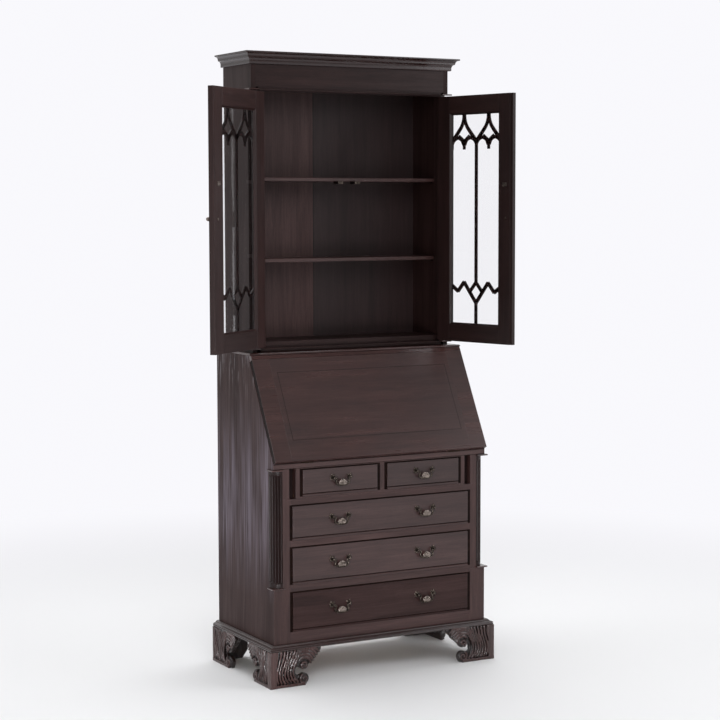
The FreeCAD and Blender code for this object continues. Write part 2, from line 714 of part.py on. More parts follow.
def tracery(word, side):
    """The gothic fret: ogee arches at the head, zigzag at the foot, one upright between them."""
    wide = (derived.door_end - 2.4 - 2 * sheet.door_member) / 2
    low = sheet.door_low + sheet.door_member
    high = sheet.door_high - sheet.door_member
    half = wide / 2
    bar = 7
    runs = []
    for sign in (-1, 1):
        middle = sign * half
        for bend in (-1, 1):
            # one flank of an ogee arch, from the head down to the arch's foot
            runs.append([(middle, high), (middle + bend * 6, high - 28), (middle + bend * 24, high - 58)])
            runs.append([(middle + bend * 24, high - 58), (middle + bend * 58, high - 97)])
            # the small diamond's lower edge and the hanging cusp
            runs.append([(middle + bend * 24, high - 78), (middle + bend * 4, high - 92)])
            runs.append([(middle + bend * 58, high - 97), (middle + bend * 30, high - 92), (middle, high - 100)])
        runs.append([(middle, high - 90), (middle, high - 126)])
        runs.append([(middle - 24, high - 56), (middle - 24, high - 80)])
        runs.append([(middle + 24, high - 56), (middle + 24, high - 80)])
        # zigzag at the foot
        runs.append([(sign * (wide - 1), low + 138), (sign * 90, low + 120), (sign * half, low + 153), (0, low + 80)])
        runs.append([(sign * 30, low + 118), (0, low + 153)])
    runs.append([(0, high - 97), (0, low + 153)])
    runs.append([(0, low + 80), (0, low)])
    bars = []
    count = 0
    for run in runs:
        for start, end in zip(run, run[1:]):
            bars.append(strip("fret_%s_%d" % (word, count), start, end, bar, 5.5))
            count += 1
    whole = fuse("fret_" + word, *bars)
    frame_box = doc.addObject("Part::Box", "fret_bound_" + word)
    frame_box.Length = 2 * wide
    frame_box.Width = 5.5
    frame_box.Height = high - low
    frame_box.Placement = FreeCAD.Placement(FreeCAD.Vector(-wide, 0, low), FreeCAD.Rotation())
    trimmed = doc.addObject("Part::Common", "fret_trim_" + word)
    trimmed.Base = whole
    trimmed.Tool = frame_box
    holder = doc.addObject("Part::Compound", "fret_place_" + word)
    holder.Links = [trimmed]
    sign = "" if side > 0 else "-"
    place(holder, "%s(2.4 + door_end) / 2" % sign, "door_face + 3", "0")
    return holder


for side, word in ((1, "left"), (-1, "right")):
    deep = ("door_face", "door_face + door_board")
    tall = ("door_low", "door_high")
    door_frame = [
        board("stile_hinge_" + word, sided(side, "2.4", "2.4 + door_member"), deep, tall),
        board("stile_free_" + word, sided(side, "door_end - door_member", "door_end"), deep, tall),
        board("rail_low_" + word, sided(side, "2.4 + door_member", "door_end - door_member"), deep, ("door_low", "door_low + door_member")),
        board("rail_high_" + word, sided(side, "2.4 + door_member", "door_end - door_member"), deep, ("door_high - door_member", "door_high")),
    ]
    door_group("door_%s_frame" % word, word, door_frame)
    pane = board(
        "pane_" + word,
        sided(side, "2.4 + door_member", "door_end - door_member"),
        ("door_face + 8.7", "door_face + 11.7"),
        ("door_low + door_member", "door_high - door_member"),
    )
    door_group("door_%s_glass" % word, word, [pane])
    door_group("door_%s_tracery" % word, word, [tracery(word, side)])
    hardware = []
    for index, low in enumerate(HINGE_LEVELS):
        hardware.append(upright_hinge("moving_%s_%d" % (word, index), side, low, True))
    spot = sided(side, "door_end - 26", "door_end - 26")[0]
    level = "door_low + 448"
    hardware.append(
        fuse(
            "knob_" + word,
            rod("knob_plate_" + word, "y", (spot, "door_face - 2", level), "10", "2"),
            rod("knob_neck_" + word, "y", (spot, "door_face - 14", level), "3.5", "13"),
            ball("knob_ball_" + word, (spot, "door_face - 17", level), "7"),
        )
    )
    hardware.append(rod("knob_nut_" + word, "y", (spot, "door_face + door_board", level), "4", "2.5"))
    hardware.append(
        board(
            "strike_" + word,
            sided(side, "door_end - 43", "door_end - 23"),
            ("door_face + door_board", "door_face + door_board + 1.5"),
            ("shelf_b - shelf_board - 20", "shelf_b - shelf_board - 6"),
        )
    )
    door_group("door_%s_hardware" % word, word, hardware)

# ---- lid ------------------------------------------------------------------------------------
# Drawn upright over its hinge pin, its inner face through the pin, then leant back on the slope.


def lean(piece):
    """Lean a lid's piece back on the slope of the sides."""
    piece.Placement = FreeCAD.Placement(FreeCAD.Vector(), FreeCAD.Rotation(FreeCAD.Vector(1, 0, 0), 10))
    place(piece, "0", "front", "slant_start")
    piece.setExpression("Placement.Rotation.Angle", link("(slant_angle - 90) * 1 deg"))
    return piece


lid_deep = ("-writing_board", "-0.1")
panel = board("lid_panel", ("-half + 66", "half - 66"), lid_deep, ("0.3", "lid_long"))
panel_cuts = []
for side in (-1, 1):
    tag = "l" if side < 0 else "r"
    near = sided(side, "270", "320")
    panel_cuts.append(board("lid_leaf_bed_" + tag, near, ("-1.3", "0"), ("0", "26")))
    panel_cuts.append(rod("lid_pin_bed_" + tag, "x", (near[0], "0", "0"), "3", "50"))
holder = doc.addObject("Part::Compound", "lid_group")
holder.Links = [
    cut("lid_panel_cut", panel, *panel_cuts),
    board("lid_end_l", ("-half + 1", "-half + 66"), lid_deep, ("0.3", "lid_long")),
    board("lid_end_r", ("half - 66", "half - 1"), lid_deep, ("0.3", "lid_long")),
]
node("lid", lean(holder))
holder = doc.addObject("Part::Compound", "lid_hinges_group")
holder.Links = [lid_hinge("moving_lid_l", -1, True), lid_hinge("moving_lid_r", 1, True)]
node("lid_hinges", lean(holder))

for side, word in ((-1, "left"), (1, "right")):
    node(
        "loper_" + word,
        board(
            "loper_%s_b" % word,
            sided(side, "slot_in + 1", "slot_out - 1"),
            ("front + loper_set_back", "front + loper_set_back + 340"),
            ("slot_low + 0.3", "slant_start - writing_board - 0.3"),
        ),
    )

# ---- drawers --------------------------------------------------------------------------------


def post(name, across, level):
    """A handle's post: a rosette on the drawer front, a stem and a ball head bored for the bail."""
    bore_side = 1 if "_near" in name else -1
    start = across + (" - 6" if bore_side < 0 else "")
    head = ball(name + "_head", (across, "front - lip - 12", level), "5")
    whole = fuse(
        name + "_solid",
        rod(name + "_rosette", "y", (across, "front - lip - 2.5", level), "9", "2.5"),
        rod(name + "_stem", "y", (across, "front - lip - 12", level), "3", "10"),
        head,
    )
    bore = rod(name + "_bore", "x", (start, "front - lip - 12", level), "bail_rod + 0.1", "6")
    return cut(name, whole, bore)


BAIL = [(-30, 0), (-24, 0), (-21, -5), (-27, -14), (-22, -22), (-11, -26)]


def bail(name, across, level):
    """A swan-neck bail: a rod bent through a curve, its ends lying in the posts' heads."""
    points = BAIL + [(-x, z) for x, z in reversed(BAIL)]
    body = doc.addObject("PartDesign::Body", name + "_body")
    path = outline(body, name + "_path", "XZ_Plane", [("%g" % x, "%g" % z) for x, z in points], False)
    ring = body.newObject("Sketcher::SketchObject", name + "_ring")
    plane = [item for item in body.Origin.OriginFeatures if item.Role == "YZ_Plane"][0]
    ring.AttachmentSupport = [(plane, "")]
    ring.MapMode = "FlatFace"
    ring.AttachmentOffset = FreeCAD.Placement(FreeCAD.Vector(0, 0, points[0][0]), FreeCAD.Rotation())
    ring.addGeometry(Part.Circle(FreeCAD.Vector(), FreeCAD.Vector(0, 0, 1), 2), False)
    ring.addConstraint(Sketcher.Constraint("Coincident", 0, 3, -1, 1))
    index = ring.addConstraint(Sketcher.Constraint("Radius", 0, 2.0))
    ring.setExpression("Constraints[%d]" % index, link("bail_rod"))
    pipe = body.newObject("PartDesign::AdditivePipe", name + "_sweep")
    pipe.Profile = ring
    pipe.Spine = (path, ["Edge%d" % (step + 1) for step in range(len(points) - 1)])
    pipe.Transition = "Round corner"
    place(body, across, "front - lip - 12", level)
    return node(name, body)


def drawer(name, left, right, low, high, pulls):
    """A drawer: lipped front, box, posts, and a bail at each handle."""
    lipped = board(name + "_lip", (left + " - lip", right + " + lip"), ("front - lip", "front"), (low + " - lip", high + " + lip"))
    block = board(name + "_block", (left + " + 1", right + " - 1"), ("front", "front + 15"), (low + " + 1", high + " - 1"))
    node(name + "_front", fuse(name + "_front_w", lipped, block))
    deep = ("front + 15", "front + 15 + drawer_depth")
    inner_x = (left + " + 12", right + " - 12")
    node(
        name + "_box",
        board(name + "_side_l", (left + " + 2", left + " + 12"), deep, (low, high + " - 8")),
        board(name + "_side_r", (right + " - 12", right + " - 2"), deep, (low, high + " - 8")),
        board(name + "_tail", inner_x, ("front + 5 + drawer_depth", deep[1]), (low + " + 14", high + " - 8")),
        board(name + "_bottom", inner_x, ("front + 15", deep[1]), (low + " + 8", low + " + 14")),
    )
    level = "(%s + %s) / 2 + 10" % (low, high)
    posts = []
    for index, across in enumerate(pulls):
        posts.append(post("%s_post_%d_near" % (name, index), across + " - post_spread", level))
        posts.append(post("%s_post_%d_far" % (name, index), across + " + post_spread", level))
    node(name + "_posts", *posts)
    for index, across in enumerate(pulls):
        tail = "" if len(pulls) == 1 else ("_left", "_right")[index]
        bail(name + "_bail" + tail, across, level)


small_mid = "(small_in + small_out) / 2"
drawer("drawer_small_left", "-small_out", "-small_in", "row_d_low", "row_d_high", ["-" + small_mid])
drawer("drawer_small_right", "small_in", "small_out", "row_d_low", "row_d_high", [small_mid])
for word, row in (("upper", "row_c"), ("middle", "row_b"), ("bottom", "row_a")):
    drawer(
        "drawer_" + word, "-wide_half", "wide_half", row + "_low", row + "_high",
        ["-pull_spread", "pull_spread"],
    )

# ---- checks and export ----------------------------------------------------------------------

doc.recompute()
for item in doc.Objects:
    if "Invalid" in item.State or "Error" in item.State:
        raise RuntimeError("%s did not rebuild" % item.Name)
os.makedirs("parts", exist_ok=True)
for whole in nodes:
    shape = whole.Shape
    if shape.isNull() or not shape.isValid() or not shape.Solids:
        raise RuntimeError("%s has no valid solid" % whole.Label)
    shape.exportStep("parts/%s.step" % whole.Label)
    box = shape.BoundBox
    print("%-28s %2d solids %9.1f cm3  x %7.1f %7.1f  y %7.1f %7.1f  z %7.1f %7.1f" % (
        whole.Label, len(shape.Solids), shape.Volume / 1000,
        box.XMin, box.XMax, box.YMin, box.YMax, box.ZMin, box.ZMax,
    ))
print(len(nodes), "nodes")
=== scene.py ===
import json
import random
from math import cos, exp, pi, radians, sin, sqrt, tan

import bmesh
import bpy
from mathutils import Matrix, Vector


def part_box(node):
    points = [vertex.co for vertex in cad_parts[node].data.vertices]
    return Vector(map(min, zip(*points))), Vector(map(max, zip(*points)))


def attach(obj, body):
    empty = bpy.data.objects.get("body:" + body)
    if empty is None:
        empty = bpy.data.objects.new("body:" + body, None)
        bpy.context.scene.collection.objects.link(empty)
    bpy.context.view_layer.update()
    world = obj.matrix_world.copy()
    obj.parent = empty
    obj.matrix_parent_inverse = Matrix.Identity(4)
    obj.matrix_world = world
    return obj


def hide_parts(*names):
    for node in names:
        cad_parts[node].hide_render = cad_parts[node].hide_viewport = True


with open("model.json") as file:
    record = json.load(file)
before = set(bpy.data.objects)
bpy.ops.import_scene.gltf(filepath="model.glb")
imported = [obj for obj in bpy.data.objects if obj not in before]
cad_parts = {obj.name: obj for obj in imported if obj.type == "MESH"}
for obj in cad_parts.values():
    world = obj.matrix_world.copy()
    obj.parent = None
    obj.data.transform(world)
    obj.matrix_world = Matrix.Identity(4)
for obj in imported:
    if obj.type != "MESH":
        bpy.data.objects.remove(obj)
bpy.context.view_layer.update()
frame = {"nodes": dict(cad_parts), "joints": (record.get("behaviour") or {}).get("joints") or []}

# The desk is shaped in millimetres in the CAD frame and scaled to metres as each piece is finished.
MM = 0.001
draw = random.Random(11)
X, Y, Z = Vector((1, 0, 0)), Vector((0, 1, 0)), Vector((0, 0, 1))


def span(node):
    """A CAD node's box, in millimetres."""
    low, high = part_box(node)
    return low / MM, high / MM


# ---- sizes read from the frame ----

desk_low, desk_high = span("desk_sides")
HALF = desk_high.x
FRONT = desk_low.y
BACK = desk_high.y
FOOT = desk_low.z
SLAB = desk_high.z
case_low, case_high = span("case_sides")
UPPER_HALF = case_high.x
UPPER_FRONT = case_low.y
UPPER_BACK = case_high.y
WRITING = span("writing_board")[1].z
SLAB_TOP = span("desk_top")[1].z
FRIEZE_TOP = span("frieze")[1].z
TOP = span("cornice")[1].z
LEDGE = span("frieze")[0].z
joints = {joint["name"]: joint for joint in frame["joints"]}

# ---- sizes of the construction, in millimetres ----

# the lid, its slope shared by the desk's sides
SLOPE = radians(61.86)
LID_LONG = 382
LID_THICK = 19
# how far the feet stand out from the case, and the radii of the lower and upper columns
FOOT_OUT = 28
COLUMN = 35
UPPER_COLUMN = 28
# a shut door: its face and thickness behind the pin, foot and head, edges beside the pin, width of a member
DOOR_FACE = 2.7
DOOR_BOARD = 20
DOOR_LOW = 1152
DOOR_HIGH = 2036
DOOR_NEAR = 2.4
DOOR_FAR = 368.25
DOOR_MEMBER = 62
# the front frame: half widths of the wide and small openings and of the board between the small drawers,
# where the lopers' slots start and stop, the top of the corner blocks, and how thick it is
WIDE = 358
SMALL = 318
MUNTIN = 15
SLOT = (340, 364)
BLOCK_TOP = 336
FRAME_THICK = 20
# each drawer's opening: low, high, left, right
ROWS = {
    "drawer_bottom": (190, 318, -WIDE, WIDE),
    "drawer_middle": (355, 473, -WIDE, WIDE),
    "drawer_upper": (508, 618, -WIDE, WIDE),
    "drawer_small_left": (657, 741, -SMALL, -MUNTIN),
    "drawer_small_right": (657, 741, MUNTIN, SMALL),
}
# a drawer front laps its opening, and stands out from the frame, by its lip
LIP = 6
# the handles: half the distance between posts, how far out the bail hangs, height over the drawer's
# middle, and the place of a wide drawer's handles
POST_APART = 32
BAIL_OUT = 18
PIN_OVER = 10
WIDE_HANDLE = 171


def show(name, data):
    """A new object in the scene."""
    made = bpy.data.objects.new(name, data)
    bpy.context.scene.collection.objects.link(made)
    return made


def circle(sides):
    """Evenly spaced angles round a circle."""
    return [2 * pi * part / sides for part in range(sides)]


def beside(side, first, second):
    """Two distances from the middle as left and right, on the side that is -1 or 1."""
    return sorted((side * first, side * second))


# ---- materials ----


class Nodes:
    """A node tree with a short way to add and join nodes."""

    def __init__(self, material):
        material.use_nodes = True
        self.tree = material.node_tree
        self.tree.nodes.clear()

    def add(self, kind, inputs=(), **settings):
        made = self.tree.nodes.new(kind)
        for name, value in settings.items():
            setattr(made, name, value)
        for key, value in dict(inputs).items():
            if isinstance(value, bpy.types.NodeSocket):
                self.tree.links.new(value, made.inputs[key])
            else:
                made.inputs[key].default_value = value
        return made

    def noise(self, vector, scale, detail=3.0, rough=0.55, distort=0.0):
        """Noise whose scale is one number, or one for each axis."""
        if isinstance(scale, tuple):
            vector = self.add("ShaderNodeMapping", {"Vector": vector, "Scale": scale}).outputs["Vector"]
            scale = 1.0
        inputs = {"Vector": vector, "Scale": scale, "Detail": detail, "Roughness": rough}
        inputs["Distortion"] = distort
        return self.add("ShaderNodeTexNoise", inputs).outputs["Fac"]

    def grey(self, value):
        return self.add("ShaderNodeCombineColor", {0: value, 1: value, 2: value}).outputs[0]

    def math(self, operation, first, second):
        return self.add("ShaderNodeMath", {0: first, 1: second}, operation=operation).outputs[0]

    def blend(self, *parts):
        """The sum of a few values, each with its share."""
        total = None
        for value, share in parts:
            scaled = self.math("MULTIPLY", value, share)
            total = scaled if total is None else self.math("ADD", total, scaled)
        return total

    def spread(self, value, low, high, to_low, to_high):
        inputs = {"Value": value, "From Min": low, "From Max": high, "To Min": to_low, "To Max": to_high}
        return self.add("ShaderNodeMapRange", inputs).outputs["Result"]

    def ramp(self, value, *stops):
        made = self.add("ShaderNodeValToRGB", {"Fac": value})
        ramp = made.color_ramp
        while len(ramp.elements) < len(stops):
            ramp.elements.new(0.5)
        for element, (place, colour) in zip(ramp.elements, stops):
            element.position = place
            element.color = (*colour, 1.0)
        return made.outputs["Color"]

    def mix(self, factor, first, second, blend="MIX"):
        made = self.add("ShaderNodeMix", data_type="RGBA", blend_type=blend)
        for index, value in ((0, factor), (6, first), (7, second)):
            if isinstance(value, bpy.types.NodeSocket):
                self.tree.links.new(value, made.inputs[index])
            else:
                made.inputs[index].default_value = value if index == 0 else (*value, 1.0)
        return made.outputs[2]

    def bump(self, height, strength, distance):
        inputs = {"Height": height, "Strength": strength, "Distance": distance}
        return self.add("ShaderNodeBump", inputs).outputs["Normal"]

    def surface(self, **inputs):
        named = {key.replace("_", " "): value for key, value in inputs.items()}
        shader = self.add("ShaderNodeBsdfPrincipled", named)
        self.add("ShaderNodeOutputMaterial", {"Surface": shader.outputs["BSDF"]})


def blank(name):
    """A material with an empty node tree, and the piece's own coordinates to start it from."""
    material = bpy.data.materials.new(name)
    nodes = Nodes(material)
    return material, nodes, nodes.add("ShaderNodeTexCoord").outputs["Object"]


GRAIN_TURNS = {"x": (0, 0, 0), "y": (0, 0, radians(-90)), "z": (0, radians(90), 0)}


def wood(name, grain, stain=1.0, rough=0.4, streaky=0.06, gloss=0.42, bump=0.3, colours=None, extra=None):
    """Polished wood. grain is an axis of the piece's own frame, or "board" where each board has its own.

    stain darkens or lightens it, and extra(nodes, place, colour) adds what one piece alone shows.
    """
    tones = colours or (DEEP, MIDDLE, LIGHT)
    deep, middle, light = [[part * stain for part in tone] for tone in tones]
    material, nodes, place = blank(name)
    if grain == "board":
        along = nodes.add("ShaderNodeAttribute", attribute_name="grain").outputs["Vector"]
    else:
        inputs = {"Vector": place, "Rotation": GRAIN_TURNS[grain]}
        along = nodes.add("ShaderNodeMapping", inputs).outputs["Vector"]
    waver = nodes.noise(along, (1.1, 3.0, 3.0), 2.0)
    sway = nodes.spread(waver, 0.3, 0.7, -0.02, 0.02)
    shift = nodes.add("ShaderNodeCombineXYZ", {"Y": sway}).outputs[0]
    curved = nodes.add("ShaderNodeVectorMath", {0: along, 1: shift}, operation="ADD").outputs[0]
    streaks = nodes.noise(curved, (1.6, 34.0, 34.0), 5.0, 0.6, 0.6)
    fibres = nodes.noise(curved, (7.0, 260.0, 260.0), 3.0, 0.6)
    pores = nodes.noise(curved, (60.0, 1300.0, 1300.0), 2.0, 0.5)
    patches = nodes.noise(along, (2.2, 4.5, 4.5), 3.0, 0.55)
    figure = nodes.blend((streaks, 0.62), (fibres, 0.38))
    colour = nodes.ramp(figure, (0.34, deep), (0.5, middle), (0.66, light))
    for value, high, least, most in ((patches, 0.7, 0.8, 1.2), (pores, 0.42, 0.5, 1.0)):
        tone = nodes.spread(value, 0.3, high, least, most)
        colour = nodes.mix(1.0, colour, nodes.grey(tone), "MULTIPLY")
    if extra:
        colour = extra(nodes, place, colour)
    worn = nodes.blend((streaks, 0.5), (patches, 0.5))
    nodes.surface(
        Base_Color=colour,
        Roughness=nodes.spread(worn, 0.38, 0.62, rough + streaky, rough - streaky),
        Specular_IOR_Level=gloss,
        IOR=1.5,
        Normal=nodes.bump(nodes.blend((fibres, 0.6), (pores, 0.4)), bump, 0.0005),
    )
    return material


def painted_sheen_and_scuffs(nodes, place, colour):
    """Painted sheen: pale upright streaks half way up a side, a reflection painted into the colour; and
    pale scuffs near its top.
    """
    parts = nodes.add("ShaderNodeSeparateXYZ", {"Vector": place}).outputs
    rise = nodes.spread(parts["Z"], 0.28, 0.5, 0.0, 1.0)
    fall = nodes.spread(parts["Z"], 1.0, 0.7, 0.0, 1.0)
    broad = nodes.noise(place, (24.0, 24.0, 1.2), 4.0, 0.7, 0.4)
    fine = nodes.noise(place, (130.0, 130.0, 3.5), 3.0, 0.6)
    runs = nodes.blend((broad, 0.48), (fine, 0.52))
    drift = nodes.noise(place, (3.0, 9.0, 2.0), 2.0)
    # painted sheen: how strongly the pale streaks show, by height
    sheen_amount = nodes.math("MULTIPLY", rise, fall)
    sheen_amount = nodes.math("MULTIPLY", sheen_amount, nodes.spread(runs, 0.42, 0.62, 0.0, 1.0))
    sheen_amount = nodes.math("MULTIPLY", sheen_amount, nodes.spread(drift, 0.35, 0.6, 0.35, 1.0))
    colour = nodes.mix(sheen_amount, colour, (0.15, 0.125, 0.15))
    # pale scuffs near the top of the side
    drips = nodes.noise(place, (110.0, 110.0, 9.0), 3.0, 0.6)
    top = nodes.spread(parts["Z"], 0.96, 1.12, 0.0, 1.0)
    scuff = nodes.math("MULTIPLY", top, nodes.spread(drips, 0.56, 0.68, 0.0, 0.8))
    return nodes.mix(scuff, colour, (0.22, 0.2, 0.21))


def painted_hollow_shade(nodes, place, colour):
    """Painted shade: darker the deeper a point lies in a carving."""
    deep = nodes.add("ShaderNodeAttribute", attribute_name="hollow").outputs["Fac"]
    return nodes.mix(nodes.spread(deep, 0.05, 0.75, 0.0, 0.9), colour, (0.006, 0.003, 0.0025))


def back_joint_and_shade(nodes, place, colour):
    """Back boards with a dark joint between them, and painted shade that makes the board right of the joint
    darker.
    """
    across = nodes.add("ShaderNodeSeparateXYZ", {"Vector": place}).outputs["X"]
    # painted shade: the board right of the joint is darker, for the shadow on that side of the case
    right = nodes.spread(across, -0.0445, -0.0435, 0.0, 1.0)
    colour = nodes.mix(right, colour, nodes.mix(0.62, colour, (0.006, 0.0045, 0.005)))
    gap = nodes.add("ShaderNodeMath", {0: across, 1: -0.044, 2: 0.0016}, operation="COMPARE").outputs[0]
    return nodes.mix(gap, colour, (0.003, 0.002, 0.002))


def brass(name, polish, dark):
    """Old brass: polished where it is rubbed, brown elsewhere."""
    material, nodes, place = blank(name)
    stain = nodes.noise(place, 160.0, 4.0, 0.6)
    fine = nodes.noise(place, 900.0, 2.0, 0.5)
    colour = nodes.ramp(nodes.blend((stain, 0.75), (fine, 0.25)), (0.38, dark), (0.62, polish))
    nodes.surface(
        Base_Color=colour,
        Metallic=1.0,
        Roughness=nodes.spread(stain, 0.3, 0.7, 0.42, 0.2),
        Normal=nodes.bump(fine, 0.15, 0.0003),
    )
    return material


def clear_glass(name):
    """Clear panes, with the faint waviness of drawn glass."""
    material, nodes, place = blank(name)
    waves = nodes.noise(place, 9.0, 1.0, 0.4)
    nodes.surface(
        Base_Color=(1.0, 1.0, 1.0, 1.0),
        Roughness=0.02,
        IOR=1.45,
        Transmission_Weight=1.0,
        Normal=nodes.bump(waves, 0.05, 0.002),
    )
    return material


DEEP = (0.0225, 0.0086, 0.0076)
MIDDLE = (0.0385, 0.0165, 0.0148)
LIGHT = (0.0560, 0.0275, 0.0250)
# near-black tones for painted shade and shadow lines
PAINTED_SHADE_TONES = ((0.004, 0.0018, 0.0014), (0.007, 0.003, 0.0022), (0.013, 0.006, 0.0045))
STRING = ((0.007, 0.002, 0.0016), (0.012, 0.004, 0.003), (0.02, 0.008, 0.006))
OAK = ((0.11, 0.055, 0.022), (0.2, 0.11, 0.048), (0.3, 0.18, 0.085))
board_wood = wood("mahogany_board", "board")
drawer_wood = wood("mahogany_drawer", "board", stain=0.84, gloss=0.55)
dark_wood = wood("mahogany_dark", "board", stain=0.45, gloss=0.18)
door_wood = wood("mahogany_door", "board", stain=0.38, gloss=0.24)
side_wood = wood("mahogany_side", "z", gloss=0.1, rough=0.46, stain=0.7, bump=0.45, extra=painted_sheen_and_scuffs)
upright_wood = wood("mahogany_upright", "z", stain=0.5, gloss=0.14, rough=0.46)
lid_wood = wood("mahogany_lid", "board", stain=0.9, rough=0.3, streaky=0.04, gloss=0.6, bump=0.14)
column_wood = wood("mahogany_column", "board", stain=0.42, gloss=0.22, rough=0.4)
edge_wood = wood("mahogany_edge", "board", stain=1.2, gloss=0.5)
polished_wood = wood("mahogany_polished", "board", rough=0.16, streaky=0.03, gloss=0.6, bump=0.1)
left_wood = wood("mahogany_left", "board", stain=0.64, gloss=0.28)
back_wood = wood("mahogany_back", "z", gloss=0.3, rough=0.5, extra=back_joint_and_shade)
level_wood = wood("mahogany_level", "x")
carved_wood = wood("mahogany_carved", "board", stain=1.1, rough=0.26, gloss=0.6, bump=0.15, extra=painted_hollow_shade)
# painted shade: near-black wood for the shadowed end faces of the lid, the quirks round the drawer fronts
# and the gaps along the writing board's edge
painted_shade_wood = wood("mahogany_painted_shade", "board", rough=0.5, gloss=0.06, colours=PAINTED_SHADE_TONES)
# near-black: painted shade, for the lopers' ends sitting in the shadow of their slots
loper_wood = wood("mahogany_loper", "y", stain=0.25, rough=0.5, gloss=0.1)
# a darker copy for the bottom drawer: painted shade, for the lesser light and reflection low down
low_wood = wood("mahogany_low_drawer", "board", stain=0.66, gloss=0.22)
cornice_wood = wood("mahogany_cornice", "board", stain=0.5, rough=0.2, streaky=0.04, gloss=0.5, bump=0.12)
mould_wood = wood("mahogany_moulding", "board", stain=0.62, rough=0.15, streaky=0.03, gloss=0.75, bump=0.1)
# darker wood inside the bookcase: painted shade, for the shadow inside the case
inner_wood = wood("mahogany_inner", "x", stain=0.5, gloss=0.2)
string_wood = wood("inlay_string", "board", rough=0.4, colours=STRING)
oak_level = wood("oak_level", "x", rough=0.55, gloss=0.3, colours=OAK)
oak_depth = wood("oak_depth", "y", rough=0.55, gloss=0.3, colours=OAK)
dull_brass = brass("brass_dull", (0.12, 0.096, 0.08), (0.02, 0.016, 0.013))
bright_brass = brass("brass_rubbed", (0.36, 0.3, 0.265), (0.085, 0.068, 0.058))
black_brass = brass("brass_blackened", (0.05, 0.035, 0.022), (0.012, 0.008, 0.006))
pane_glass = clear_glass("pane_glass")

# ---- shapes ----


